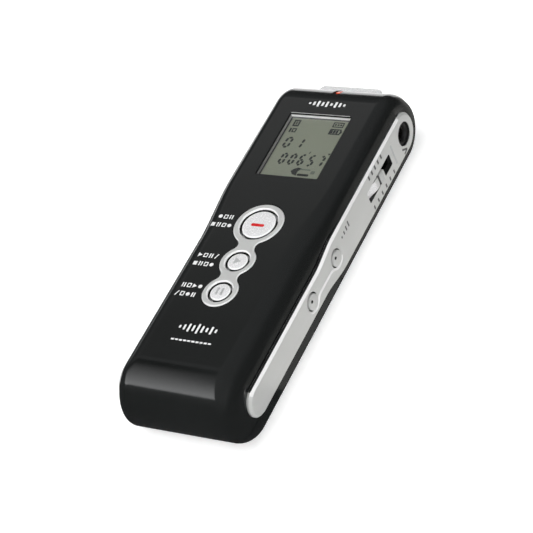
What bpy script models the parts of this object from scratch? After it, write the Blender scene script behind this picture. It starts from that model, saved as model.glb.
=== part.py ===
"""Handheld stereo voice recorder, modelled as it comes apart on a bench.

The recorder lies on its back: +Z is the front face with the display, +Y is the microphone end and
+X is the side with the headphone jack. The origin is on the back plane, in the middle of the plan.
Dimensions are in millimetres and are scaled to metres when a mesh is made.
"""
import math

import bmesh
import bpy
from mathutils import Matrix, Vector

MM = 0.001

# ---- casing -------------------------------------------------------------------------------------
THICKNESS = 18.8            # back plane to front plane
SIDE_X = 16.3               # half width of the back half
AXIS_Z = 8.3                # height of the line that the end arcs, jacks and side buttons share
BOTTOM_Y = -52.1            # lower end
TOP_Y = 51.1                # microphone end
END_BACK_R = AXIS_Z         # both ends roll up from the back with this radius
BOTTOM_FRONT_R = THICKNESS - AXIS_Z
TOP_FRONT_R = 9.9
TOP_LEAN = 24.0             # degrees that the top end leans back
BACK_EDGE_R = 2.1           # rounding of the two long back edges
WALL = 1.3
SHELL_SPLIT_Z = 4.5         # parting plane between the front shell and the back pieces
SEAM = 0.2                  # visible seams
FIT = 0.2                   # clearance round a piece that sits in another
DOOR_TOP_Y = -0.2           # upper edge of the battery door
FAR = 80.0                  # further out than any point of the recorder

# The shoulders between the front face and the sides are tighter above the buttons than below them.
WAIST_START_Y = 14.0
WAIST_END_Y = -6.0
UPPER_SHOULDER = (12.7, 3.6, 75.0)      # flat half width, radius, swept degrees
LOWER_SHOULDER = (10.6, 5.0, 85.0)

# ---- front face ---------------------------------------------------------------------------------
WINDOW_Y = 25.8
WINDOW_WIDTH = 17.3
WINDOW_HEIGHT = 21.0
LENS_TOP_Z = THICKNESS - 0.7
LENS_THICK = 0.6
FRAME_WIDTH = 0.2           # wall of the bright frame round the display

REC_Y = 0.0
PLAY_Y = -11.65
PAUSE_Y = -21.0
REC_LOBE_R = 6.3
SMALL_LOBE_R = 4.5
NECK_FILLET_R = 1.8
REC_HOLE_R = 4.75
SMALL_HOLE_R = 3.05
BEZEL_Z = (THICKNESS - 0.75, THICKNESS + 0.05)
BUTTON_GAP = 0.45
BUTTON_RIM_Z = THICKNESS - 0.4
BUTTON_CROWN = 0.45
BUTTON_TRAVEL = 0.4
PLUNGER_GAP = 0.1           # between a switch's plunger and its button, past the button's travel

# ---- side trims ---------------------------------------------------------------------------------
TRIM_FACE_X = 16.9
TRIM_BACK_X = 15.65
TRIM_BEVEL = 0.6
TRIM_WIDE = 5.3             # half width beside the display
TRIM_NARROW = 4.0           # half width below the volume buttons
TRIM_TOP_Y = 42.0           # centre of the upper round end
TRIM_BOTTOM_Y = -41.4       # centre of the lower round end
TRIM_STEP_Y = (3.2, -7.5)   # where the right trim narrows
LEFT_TRIM_FACE_X = 17.1
LEFT_TRIM_Z = 8.8
LEFT_TRIM_HALF = 5.7
LEFT_TRIM_BOTTOM_Y = -42.4

JACK_Y = 42.0
JACK_BORE_R = 1.8
JACK_RIM_R = 3.0
KNOB_LENGTH = 8.4
KNOB_TRAVEL = 4.5
KNOB_GAP = 0.25             # round the knob in its slot
SLOT_Y = 26.8
SLOT_HALF_LENGTH = (KNOB_LENGTH + KNOB_TRAVEL) / 2 + KNOB_GAP
SLOT_HALF_WIDTH = 1.65
SLOT_CORNER_R = 0.4
VOLUME_UP_Y = 1.0
VOLUME_DOWN_Y = -12.5
VOLUME_R = 2.3
USB_Y = 25.0
USB_SIZE = (7.7, 3.9)
USB_DEPTH = 9.0

# ---- microphone head ----------------------------------------------------------------------------
HEAD_HALF_WIDTH = 8.85
HEAD_Z = (4.6, 13.9)
HEAD_Y = (49.0, 51.5)
HEAD_CORNER = (0.8, 1.1)      # cut off each outer corner, across and along
HEAD_BEVEL = 0.9
MIC_X = 4.4
MIC_HOLE_R = 2.2

# ---- inside -------------------------------------------------------------------------------------
BOARD_Z = (13.2, 14.0)
BOARD_X = 13.2
BOARD_Y = (-28.0, 45.3)
CELL_R = 5.25
CELL_LENGTH = 44.5
CELL_X = 5.55
CELL_Z = 6.85
CELL_Y = (-45.6, -1.1)
TRAY_Z = (4.9, 12.9)
TRAY_X = 12.1
TRAY_Y = (-48.3, 2.4)
TRAY_WALL = 0.7
SWITCH_TOP_Z = BOARD_Z[1] + 1.3         # plungers under the front buttons
SWITCH_TOP_X = TRAY_X + 1.2             # plungers behind the volume buttons
BOSS_XY = [(side * 12.2, y) for y in (36.0, 6.5) for side in (-1, 1)]
BOSS_R = 2.1
SCREW_HOLE_R = 1.0
SCREW_SHAFT_R = 0.75
SCREW_HEAD_R = 1.55
SPEAKER_Y = 17.0
SPEAKER_R = 9.0
LIGHT_PIPE_ARC = (62.0, 38.0)           # degrees round the top front edge


# ---- scene and materials ------------------------------------------------------------------------
def clear_scene():
    for obj in list(bpy.data.objects):
        bpy.data.objects.remove(obj, do_unlink=True)


def make_collection(name):
    collection = bpy.data.collections.new(name)
    bpy.context.scene.collection.children.link(collection)
    return collection


def make_material(name, colour, roughness, metallic=0.0):
    material = bpy.data.materials.new(name)
    material.use_nodes = True
    shader = material.node_tree.nodes["Principled BSDF"]
    shader.inputs["Base Color"].default_value = (*colour, 1.0)
    shader.inputs["Roughness"].default_value = roughness
    shader.inputs["Metallic"].default_value = metallic
    return material


clear_scene()
PARTS = make_collection("voice_recorder")
CUTTERS = make_collection("cutters")

GLOSS_BLACK = make_material("gloss_black", (0.012, 0.012, 0.013), 0.12)
SATIN_BLACK = make_material("satin_black", (0.02, 0.02, 0.02), 0.45)
SILVER = make_material("satin_silver", (0.62, 0.62, 0.60), 0.35, 0.85)
CHROME = make_material("bright_silver", (0.8, 0.8, 0.8), 0.15, 1.0)
CLEAR = make_material("clear_acrylic", (0.85, 0.88, 0.86), 0.05)
LCD_GREY = make_material("lcd_grey_green", (0.25, 0.27, 0.20), 0.3)
WHITE = make_material("white_plastic", (0.8, 0.8, 0.78), 0.5)
RUBBER = make_material("grey_rubber", (0.08, 0.08, 0.08), 0.8)
BOARD_GREEN = make_material("board_green", (0.03, 0.16, 0.06), 0.4)
CHIP_BLACK = make_material("chip_black", (0.03, 0.03, 0.03), 0.6)
STEEL = make_material("spring_steel", (0.6, 0.6, 0.58), 0.3, 1.0)
CELL_WRAP = make_material("cell_wrap", (0.05, 0.12, 0.3), 0.35, 0.3)
LED_ORANGE = make_material("led_orange", (0.8, 0.12, 0.03), 0.25)


# ---- modelling helpers --------------------------------------------------------------------------
def add_object(name, mesh, collection, material=None):
    obj = bpy.data.objects.new(name, mesh)
    collection.objects.link(obj)
    if material:
        mesh.materials.append(material)
    if collection is CUTTERS:
        obj.hide_render = True
        obj.display_type = "WIRE"
    return obj


def finish_mesh(name, bm, material=None, collection=None, origin=(0.0, 0.0, 0.0), smooth=30.0):
    """Turns a bmesh in millimetres into an object in metres whose origin is at the given point."""
    bmesh.ops.recalc_face_normals(bm, faces=bm.faces)
    bmesh.ops.translate(bm, verts=bm.verts, vec=-Vector(origin))
    bmesh.ops.scale(bm, verts=bm.verts, vec=(MM, MM, MM))
    mesh = bpy.data.meshes.new(name)
    bm.to_mesh(mesh)
    bm.free()
    mesh.shade_smooth()
    mesh.set_sharp_from_angle(angle=math.radians(smooth))
    obj = add_object(name, mesh, collection or PARTS, material)
    obj.location = Vector(origin) * MM
    return obj


def box(name, low, high, material=None, bevel=0.0, segments=1, collection=None):
    bm = bmesh.new()
    bmesh.ops.create_cube(bm, size=1.0)
    size = [b - a for a, b in zip(low, high)]
    centre = [(a + b) / 2.0 for a, b in zip(low, high)]
    bmesh.ops.scale(bm, verts=bm.verts, vec=size)
    bmesh.ops.translate(bm, verts=bm.verts, vec=centre)
    if bevel > 0.0:
        bmesh.ops.bevel(bm, geom=bm.edges[:], offset=bevel, segments=segments, affect="EDGES",
                        profile=0.5)
    return finish_mesh(name, bm, material, collection)


AXIS_TURN = {
    "X": Matrix.Rotation(math.radians(90.0), 4, "Y"),
    "Y": Matrix.Rotation(math.radians(-90.0), 4, "X"),
    "Z": Matrix.Identity(4),
}


def cylinder(name, centre, radius, length, axis, material=None, segments=32, collection=None):
    """A cylinder that starts at centre and runs along the axis."""
    bm = bmesh.new()
    bmesh.ops.create_cone(bm, cap_ends=True, segments=segments, radius1=radius, radius2=radius,
                          depth=length)
    bmesh.ops.translate(bm, verts=bm.verts, vec=(0.0, 0.0, length / 2.0))
    bmesh.ops.transform(bm, matrix=Matrix.Translation(centre) @ AXIS_TURN[axis], verts=bm.verts)
    return finish_mesh(name, bm, material, collection)


def turned(name, centre, profile, axis, material, segments=32):
    """A turned piece: profile is a list of (radius, height along the axis) from bottom to top."""
    outline = [(0.0, profile[0][1]), *profile, (0.0, profile[-1][1])]
    outline.reverse()
    points = [(radius * MM, 0.0, height * MM) for radius, height in outline]
    links = [(k, k + 1) for k in range(len(points) - 1)]
    mesh = bpy.data.meshes.new(name)
    mesh.from_pydata(points, links, [])
    obj = add_object(name, mesh, PARTS, material)
    obj.location = Vector(centre) * MM
    obj.rotation_euler = AXIS_TURN[axis].to_euler()
    screw = obj.modifiers.new("turn", "SCREW")
    screw.steps = segments
    screw.render_steps = segments
    screw.use_merge_vertices = True
    screw.merge_threshold = 0.001 * MM
    return obj


def mesh_from_curve(name, curve):
    """The curve's surface as a bmesh, with its loose caps welded on."""
    guide = bpy.data.objects.new(name, curve)
    PARTS.objects.link(guide)
    graph = bpy.context.evaluated_depsgraph_get()
    mesh = bpy.data.meshes.new_from_object(guide.evaluated_get(graph))
    bpy.data.objects.remove(guide, do_unlink=True)
    bm = bmesh.new()
    bm.from_mesh(mesh)
    bpy.data.meshes.remove(mesh)
    bmesh.ops.remove_doubles(bm, verts=bm.verts, dist=0.001)
    return bm


def prism(name, outline, place, low, high, material=None, collection=None, bevel_top=0.0,
          bevel_segments=1, origin=(0.0, 0.0, 0.0)):
    """Extrudes a closed outline of (u, v) points from low to high; place maps u, v, w to x, y, z."""
    curve = bpy.data.curves.new(name, "CURVE")
    curve.dimensions = "2D"
    curve.fill_mode = "BOTH"
    curve.extrude = (high - low) / 2.0
    spline = curve.splines.new("POLY")
    spline.points.add(len(outline) - 1)
    for point, (u, v) in zip(spline.points, outline):
        point.co = (u, v, 0.0, 1.0)
    spline.use_cyclic_u = True
    bm = mesh_from_curve(name, curve)
    bmesh.ops.translate(bm, verts=bm.verts, vec=(0.0, 0.0, (low + high) / 2.0))
    bmesh.ops.dissolve_limit(bm, angle_limit=0.001, verts=bm.verts, edges=bm.edges)
    if bevel_top > 0.0:
        rim = [edge for edge in bm.edges if all(abs(v.co.z - high) < 1e-4 for v in edge.verts)]
        bmesh.ops.bevel(bm, geom=rim, offset=bevel_top, segments=bevel_segments, affect="EDGES",
                        profile=0.5)
    bmesh.ops.transform(bm, matrix=place, verts=bm.verts)
    return finish_mesh(name, bm, material, collection, origin)


FACE_UP = Matrix.Identity(4)
# u runs along +Y, v along +Z, and the extrusion runs along +X or, for the left side, along -X
FACE_RIGHT = Matrix(((0, 0, 1, 0), (1, 0, 0, 0), (0, 1, 0, 0), (0, 0, 0, 1)))
FACE_LEFT = Matrix(((0, 0, -1, 0), (1, 0, 0, 0), (0, 1, 0, 0), (0, 0, 0, 1)))


def combine(obj, other, operation="DIFFERENCE"):
    modifier = obj.modifiers.new(operation.lower() + "_" + other.name, "BOOLEAN")
    modifier.object = other
    modifier.operation = operation
    modifier.solver = "EXACT"


def cut_box(obj, low, high):
    cutter = box(obj.name + "_cut_box", low, high, collection=CUTTERS)
    combine(obj, cutter)


def cut_bore(obj, centre, radius, length, axis, segments=32):
    cutter = cylinder(obj.name + "_cut_bore", centre, radius, length, axis, None, segments, CUTTERS)
    combine(obj, cutter)


def cut_prism(obj, outline, place, low, high):
    cutter = prism(obj.name + "_cut_prism", outline, place, low, high, None, CUTTERS)
    combine(obj, cutter)


def arc(centre, radius, start, end, steps):
    """Points (u, v) on an arc, from start to end in degrees, both ends included."""
    points = []
    for k in range(steps + 1):
        angle = math.radians(start + (end - start) * k / steps)
        points.append((centre[0] + radius * math.cos(angle), centre[1] + radius * math.sin(angle)))
    return points


def chain(*runs):
    """Joins runs of points into one outline, without the points where they meet twice."""
    points = []
    for point in (point for run in runs for point in run):
        if not points or math.dist(points[-1], point) > 1e-4:
            points.append(point)
    if math.dist(points[0], points[-1]) < 1e-4:
        points.pop()
    return points


def stadium(centre, half_length, half_width, steps=8):
    """A slot outline that is long in u."""
    u, v = centre
    reach = half_length - half_width
    return (arc((u + reach, v), half_width, -90, 90, steps)
            + arc((u - reach, v), half_width, 90, 270, steps))


def rounded_box(centre, half_u, half_v, radius, steps=3):
    """A rectangle with rounded corners."""
    u, v = centre
    reach_u = half_u - radius
    reach_v = half_v - radius
    return (arc((u + reach_u, v - reach_v), radius, -90, 0, steps)
            + arc((u + reach_u, v + reach_v), radius, 0, 90, steps)
            + arc((u - reach_u, v + reach_v), radius, 90, 180, steps)
            + arc((u - reach_u, v - reach_v), radius, 180, 270, steps))


def smooth_step(value):
    value = min(max(value, 0.0), 1.0)
    return value * value * (3.0 - 2.0 * value)


# ---- casing form --------------------------------------------------------------------------------
def top_front_centre():
    """Centre of the arc that joins the leaning top end to the front face."""
    lean = math.radians(TOP_LEAN)
    normal = (math.cos(lean), math.sin(lean))
    z = THICKNESS - TOP_FRONT_R
    spread = END_BACK_R - TOP_FRONT_R
    run = (z - AXIS_Z - spread * normal[1]) / math.cos(lean)
    y = TOP_Y - END_BACK_R - run * math.sin(lean) + spread * normal[0]
    return y, z


def side_profile():
    """The casing seen from the side: (y, z, outward normal y, outward normal z), bottom tip first.

    The first half runs over the front to the top tip and the second half returns along the back,
    with as many points in each, so that they pair up across a side face.
    """
    profile = []

    def sweep(centre, radius, start, end, steps, skip_first):
        for k in range(1 if skip_first else 0, steps + 1):
            angle = math.radians(start + (end - start) * k / steps)
            normal = (math.cos(angle), math.sin(angle))
            profile.append((centre[0] + radius * normal[0], centre[1] + radius * normal[1], *normal))

    stations = [WAIST_START_Y - 2.5 * k for k in range(9)]
    sweep((BOTTOM_Y + BOTTOM_FRONT_R, AXIS_Z), BOTTOM_FRONT_R, 180, 90, 8, False)
    profile.extend((y, THICKNESS, 0.0, 1.0) for y in reversed(stations))
    sweep(top_front_centre(), TOP_FRONT_R, 90, TOP_LEAN, 6, False)
    sweep((TOP_Y - END_BACK_R, AXIS_Z), END_BACK_R, TOP_LEAN, 0, 2, False)
    sweep((TOP_Y - END_BACK_R, AXIS_Z), END_BACK_R, 0, -90, 9, True)
    profile.extend((y, 0.0, 0.0, -1.0) for y in stations)
    sweep((BOTTOM_Y + END_BACK_R, AXIS_Z), END_BACK_R, 270, 180, 8, False)
    profile.pop()
    return profile


def shoulder_at(y):
    share = smooth_step((WAIST_START_Y - y) / (WAIST_START_Y - WAIST_END_Y))
    return [a + (b - a) * share for a, b in zip(UPPER_SHOULDER, LOWER_SHOULDER)]


def casing_point(point, share, inset, side):
    """A point of the casing skin: share runs from 0 at the flat to 1 at the edge of the side face."""
    y, z, normal_y, normal_z = point
    flat, radius, sweep = shoulder_at(y)
    turn = math.radians(sweep) * share
    front_x = flat + (radius - inset) * math.sin(turn)
    front_depth = inset + (radius - inset) * (1.0 - math.cos(turn))
    turn = math.radians(90.0) * share
    back_x = SIDE_X - BACK_EDGE_R + (BACK_EDGE_R - inset) * math.sin(turn)
    back_depth = inset + (BACK_EDGE_R - inset) * (1.0 - math.cos(turn))
    back_share = math.degrees(math.acos(min(max(normal_z, -1.0), 1.0))) / 180.0
    x = front_x + (back_x - front_x) * back_share
    depth = front_depth + (back_depth - front_depth) * back_share
    return side * x, y - depth * normal_y, z - depth * normal_z


def casing_solid(name, inset, material=None, collection=None, steps=5):
    """The whole outer form, shrunk by inset: rounded sections lofted across the width."""
    profile = side_profile()
    count = len(profile)
    stations = [(-1, 1.0 - k / steps) for k in range(steps + 1)]
    stations += [(1, k / steps) for k in range(steps + 1)]
    bm = bmesh.new()
    rings = []
    for side, share in stations:
        rings.append([bm.verts.new(casing_point(p, share, inset, side)) for p in profile])
    for left, right in zip(rings, rings[1:]):
        for k in range(count):
            nxt = (k + 1) % count
            bm.faces.new((left[k], left[nxt], right[nxt], right[k]))
    for ring in (rings[0], rings[-1]):
        for k in range(count // 2):
            front = (ring[k], ring[k + 1])
            back = (ring[count - k - 1], ring[(count - k) % count])
            corners = list(dict.fromkeys(front + back))
            bm.faces.new(corners)
    bmesh.ops.triangulate(bm, faces=bm.faces)
    return finish_mesh(name, bm, material, collection)


def hollow_casing(name, material):
    obj = casing_solid(name, 0.0, material)
    combine(obj, CAVITY)
    return obj


# ---- outlines -----------------------------------------------------------------------------------
def lobed_outline(grow=0.0):
    """Outline of the button bezel: three lobes on the centre line joined by filleted necks."""
    lobes = [(REC_Y, REC_LOBE_R), (PLAY_Y, SMALL_LOBE_R), (PAUSE_Y, SMALL_LOBE_R)]
    fillet = NECK_FILLET_R
    right = []
    start = 90.0
    for (y0, r0), (y1, r1) in zip(lobes, lobes[1:]):
        reach0 = r0 + fillet
        reach1 = r1 + fillet
        apart = y0 - y1
        along = (reach0 ** 2 - reach1 ** 2 + apart ** 2) / (2.0 * apart)
        out = math.sqrt(reach0 ** 2 - along ** 2)
        leave = -math.degrees(math.atan2(along, out))
        arrive = math.degrees(math.atan2(apart - along, out))
        right += arc((0.0, y0), r0 + grow, start, leave, 12)
        right += arc((out, y0 - along), fillet - grow, leave + 180.0, 180.0 + arrive, 5)
        start = arrive
    right += arc((0.0, lobes[-1][0]), lobes[-1][1] + grow, start, -90.0, 10)
    left = [(-x, y) for x, y in reversed(right)]
    return chain(right, left)


def trim_half_width(y):
    start, end = TRIM_STEP_Y
    share = smooth_step((start - y) / (start - end))
    return TRIM_WIDE + (TRIM_NARROW - TRIM_WIDE) * share


def right_trim_outline(grow=0.0):
    """Outline (y, z) of the right trim: wide beside the display, narrow below the volume buttons."""
    steps = 10
    start, end = TRIM_STEP_Y
    step_y = [start + (end - start) * k / steps for k in range(steps + 1)]
    front = [(y, AXIS_Z + trim_half_width(y) + grow) for y in step_y]
    back = [(y, AXIS_Z - trim_half_width(y) - grow) for y in reversed(step_y)]
    upper = arc((TRIM_TOP_Y, AXIS_Z), TRIM_WIDE + grow, -90, 90, 14)
    lower = arc((TRIM_BOTTOM_Y, AXIS_Z), TRIM_NARROW + grow, 90, 270, 12)
    return chain(upper, front, lower, back)


def left_trim_outline(grow=0.0):
    centre_y = (TRIM_TOP_Y + LEFT_TRIM_BOTTOM_Y) / 2.0
    half_length = (TRIM_TOP_Y - LEFT_TRIM_BOTTOM_Y) / 2.0 + LEFT_TRIM_HALF + grow
    return stadium((centre_y, LEFT_TRIM_Z), half_length, LEFT_TRIM_HALF + grow, 12)


# ---- shells -------------------------------------------------------------------------------------
def cut_trim_grooves(obj):
    floor_x = TRIM_BACK_X - FIT
    reach = SIDE_X + 3.0
    cut_prism(obj, right_trim_outline(FIT), FACE_RIGHT, floor_x, reach)
    cut_prism(obj, left_trim_outline(FIT), FACE_LEFT, floor_x, reach)


def cut_button_holes(obj):
    for y, radius in ((REC_Y, REC_HOLE_R), (PLAY_Y, SMALL_HOLE_R), (PAUSE_Y, SMALL_HOLE_R)):
        cut_bore(obj, (0.0, y, THICKNESS - 4.0), radius, 10.0, "Z")


def cut_side_openings(obj, slack):
    """Openings for the jacks, the slide switch, the volume buttons and the USB port."""
    inside = SIDE_X - 4.0
    length = 8.0
    for side in (-1, 1):
        start = inside if side > 0 else -inside - length
        cut_bore(obj, (start, JACK_Y, AXIS_Z), JACK_RIM_R + slack, length, "X")
    for y in (VOLUME_UP_Y, VOLUME_DOWN_Y):
        cut_bore(obj, (inside, y, AXIS_Z), VOLUME_R + slack, length, "X")
    slot = rounded_box((SLOT_Y, AXIS_Z), SLOT_HALF_LENGTH + slack, SLOT_HALF_WIDTH + slack,
                       SLOT_CORNER_R)
    cut_prism(obj, slot, FACE_RIGHT, inside, inside + length)
    half_y = USB_SIZE[0] / 2.0 + FIT + slack
    half_z = USB_SIZE[1] / 2.0 + FIT + slack
    cut_box(obj, (-inside - length, USB_Y - half_y, AXIS_Z - half_z),
            (-inside, USB_Y + half_y, AXIS_Z + half_z))


def make_front_shell():
    shell = hollow_casing("front_shell", GLOSS_BLACK)
    for index, (x, y) in enumerate(BOSS_XY):
        boss = cylinder("boss_%d" % index, (x, y, SHELL_SPLIT_Z - 1.0), BOSS_R,
                        17.7 - SHELL_SPLIT_Z + 1.0, "Z", None, 20, CUTTERS)
        combine(shell, boss, "UNION")
    cut_box(shell, (-FAR, -FAR, -FAR), (FAR, FAR, SHELL_SPLIT_Z + SEAM / 2))
    half_width = WINDOW_WIDTH / 2.0
    half_height = WINDOW_HEIGHT / 2.0
    cut_box(shell, (-half_width, WINDOW_Y - half_height, BOARD_Z[1] + 1.0),
            (half_width, WINDOW_Y + half_height, FAR))
    cut_prism(shell, lobed_outline(0.15), FACE_UP, BEZEL_Z[0] - 0.2, THICKNESS + 5.0)
    cut_button_holes(shell)
    cut_trim_grooves(shell)
    cut_side_openings(shell, FIT)
    for x, y in BOSS_XY:
        cut_bore(shell, (x, y, 0.0), SCREW_HOLE_R, 12.0, "Z", 16)
    cut_box(shell, (-HEAD_HALF_WIDTH - FIT, HEAD_Y[0] - FIT - 0.5, HEAD_Z[0] - FIT),
            (HEAD_HALF_WIDTH + FIT, FAR, HEAD_Z[1] + FIT))
    for side in (-1, 1):
        cut_bore(shell, (side * MIC_X, 44.0, AXIS_Z), MIC_HOLE_R + 1.1, 10.0, "Y", 24)
    cut_box(shell, (-1.1, 44.5, BOARD_Z[0]), (1.1, FAR, FAR))
    return shell


def make_back_shell():
    shell = hollow_casing("back_shell", GLOSS_BLACK)
    for index, (x, y) in enumerate(BOSS_XY):
        post = cylinder("post_%d" % index, (x, y, 0.6), BOSS_R + 0.3, SHELL_SPLIT_Z - 0.6, "Z",
                        None, 20, CUTTERS)
        combine(shell, post, "UNION")
    cut_box(shell, (-FAR, -FAR, SHELL_SPLIT_Z - SEAM / 2), (FAR, FAR, FAR))
    cut_box(shell, (-FAR, -FAR, -FAR), (FAR, DOOR_TOP_Y + 0.3, FAR))
    cut_trim_grooves(shell)
    for x, y in BOSS_XY:
        cut_bore(shell, (x, y, -1.0), SCREW_HOLE_R, 8.0, "Z", 16)
        cut_bore(shell, (x, y, -1.0), SCREW_HEAD_R + 0.3, 2.6, "Z", 20)
    for k in range(-2, 3):
        half = 4.8 - 0.75 * abs(k)
        slot = stadium((0.0, SPEAKER_Y + 2.2 * k), half, 0.5, 5)
        cut_prism(shell, slot, FACE_UP, -1.0, 3.0)
    return shell


def make_battery_door():
    door = hollow_casing("battery_door", GLOSS_BLACK)
    cut_box(door, (-FAR, -FAR, SHELL_SPLIT_Z - SEAM / 2), (FAR, FAR, FAR))
    cut_box(door, (-FAR, DOOR_TOP_Y, -FAR), (FAR, FAR, FAR))
    cut_trim_grooves(door)
    return door


# ---- silver pieces ------------------------------------------------------------------------------
def make_right_trim():
    trim = prism("right_side_trim", right_trim_outline(), FACE_RIGHT, TRIM_BACK_X, TRIM_FACE_X,
                 SILVER, None, TRIM_BEVEL, 1)
    cut_side_openings(trim, 0.0)
    return trim


def make_left_trim():
    trim = prism("left_side_trim", left_trim_outline(), FACE_LEFT, TRIM_BACK_X, LEFT_TRIM_FACE_X,
                 SILVER, None, TRIM_BEVEL, 1)
    cut_bore(trim, (-20.0, JACK_Y, AXIS_Z), JACK_RIM_R, 8.0, "X")
    half_y = USB_SIZE[0] / 2.0 + FIT
    half_z = USB_SIZE[1] / 2.0 + FIT
    cut_box(trim, (-20.0, USB_Y - half_y, AXIS_Z - half_z), (-12.0, USB_Y + half_y, AXIS_Z + half_z))
    return trim


def make_button_bezel():
    bezel = prism("button_bezel", lobed_outline(), FACE_UP, BEZEL_Z[0], BEZEL_Z[1], SILVER, None,
                  0.25, 1)
    cut_button_holes(bezel)
    return bezel


def dome_profile(radius, rim, crown, base, steps=4):
    """Profile of a button cap: straight wall from base to rim, then a shallow dome."""
    profile = [(radius, base), (radius, rim)]
    for k in range(1, steps + 1):
        turn = math.radians(90.0 * k / steps)
        shrink = radius * (1.0 - 0.9 * (1.0 - math.cos(turn)))
        profile.append((shrink, rim + crown * math.sin(turn)))
    return profile


def make_front_button(name, y, hole_radius):
    """A cap with a dome on top and a collar under the front shell, which slides on its own axis."""
    radius = hole_radius - BUTTON_GAP
    collar = hole_radius + 0.5
    bottom = SWITCH_TOP_Z + BUTTON_TRAVEL + PLUNGER_GAP
    profile = [(collar, 0.0), (collar, 0.8), (radius, 0.8)]
    top = dome_profile(radius, BUTTON_RIM_Z - bottom, BUTTON_CROWN, 0.8)
    profile += top[1:]
    return turned(name, (0.0, y, bottom), profile, "Z", CHROME, 28)


def make_tact_switch(name, low, high, plunger_foot, plunger_length, axis):
    """A tact switch: a square body joined to its round plunger."""
    switch = box(name, low, high, CHIP_BLACK)
    plunger = cylinder(name + "_plunger", plunger_foot, 0.8, plunger_length, axis, None, 16, CUTTERS)
    combine(switch, plunger, "UNION")
    return switch


def make_front_buttons():
    rows = (("rec", REC_Y, REC_HOLE_R), ("play", PLAY_Y, SMALL_HOLE_R),
            ("pause", PAUSE_Y, SMALL_HOLE_R))
    for label, y, hole_radius in rows:
        make_front_button(label + "_button", y, hole_radius)
        foot = BOARD_Z[1] + 0.4
        low = (-2.0, y - 2.0, BOARD_Z[1] + 0.1)
        high = (2.0, y + 2.0, SWITCH_TOP_Z - 0.4)
        make_tact_switch(label + "_switch", low, high, (0.0, y, foot), SWITCH_TOP_Z - foot, "Z")


def make_volume_buttons():
    for label, y in (("volume_up", VOLUME_UP_Y), ("volume_down", VOLUME_DOWN_Y)):
        radius = VOLUME_R - 0.2
        start = SWITCH_TOP_X + BUTTON_TRAVEL + PLUNGER_GAP
        profile = [(radius + 0.8, 0.0), (radius + 0.8, 0.3), (radius, 0.3)]
        profile += dome_profile(radius, TRIM_FACE_X - start, 0.45, 0.3)[1:]
        # the collar is thin enough to sit between the switch and the inside of the shell
        turned(label + "_button", (start, y, AXIS_Z), profile, "X", CHROME, 22)
        foot = TRAY_X + 0.3
        low = (TRAY_X + 0.15, y - 2.2, AXIS_Z - 1.6)
        high = (SWITCH_TOP_X - 0.45, y + 2.2, AXIS_Z + 1.6)
        make_tact_switch(label + "_switch", low, high, (foot, y, AXIS_Z), SWITCH_TOP_X - foot, "X")


def make_slide_switch():
    rest_y = SLOT_Y - KNOB_TRAVEL / 2.0
    outline = rounded_box((rest_y, AXIS_Z), KNOB_LENGTH / 2.0, SLOT_HALF_WIDTH - KNOB_GAP,
                          SLOT_CORNER_R)
    knob = prism("slide_switch_knob", outline, FACE_RIGHT, 14.6, TRIM_FACE_X + 0.55, CHROME, None,
                 0.3, 2, (TRIM_BACK_X, rest_y, AXIS_Z))
    for k in (-2, -1, 0, 1, 2):
        y = rest_y + 1.15 * k
        cut_box(knob, (TRIM_FACE_X + 0.25, y - 0.2, 0.0), (FAR, y + 0.2, THICKNESS))
    box("slide_switch_body", (10.6, SLOT_Y - 6.4, AXIS_Z - 2.2), (14.3, SLOT_Y + 6.4, AXIS_Z + 2.2),
        STEEL, 0.2)


def make_microphone_head():
    low_y, high_y = HEAD_Y
    half = HEAD_HALF_WIDTH
    cut_x, cut_y = HEAD_CORNER
    outline = [(-half, low_y), (half, low_y), (half, high_y - cut_y), (half - cut_x, high_y),
               (-half + cut_x, high_y), (-half, high_y - cut_y)]
    head = prism("microphone_head", outline, FACE_UP, HEAD_Z[0], HEAD_Z[1], SILVER)
    bevel = head.modifiers.new("soft_edges", "BEVEL")
    bevel.width = HEAD_BEVEL * MM
    bevel.segments = 1
    bevel.limit_method = "ANGLE"
    bevel.angle_limit = math.radians(30.0)
    for side, label in ((-1, "left"), (1, "right")):
        cut_bore(head, (side * MIC_X, low_y - 1.0, AXIS_Z), MIC_HOLE_R, 8.0, "Y", 24)
        cut_bore(head, (side * MIC_X, high_y - 0.9, AXIS_Z), MIC_HOLE_R + 0.6, 4.0, "Y", 28)
        cylinder("microphone_mesh_" + label, (side * MIC_X, high_y - 0.7, AXIS_Z),
                 MIC_HOLE_R + 0.4, 0.4, "Y", STEEL, 28)
        cylinder("microphone_capsule_" + label, (side * MIC_X, 45.6, AXIS_Z), 2.9, 2.6, "Y",
                 STEEL, 28)


# ---- display ------------------------------------------------------------------------------------
def frame_plate(name, centre_y, outer, inner, low, high, material):
    frame = box(name, (-outer[0] / 2, centre_y - outer[1] / 2, low),
                (outer[0] / 2, centre_y + outer[1] / 2, high), material)
    cut_box(frame, (-inner[0] / 2, centre_y - inner[1] / 2, low - 5.0),
            (inner[0] / 2, centre_y + inner[1] / 2, high + 5.0))
    return frame


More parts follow.
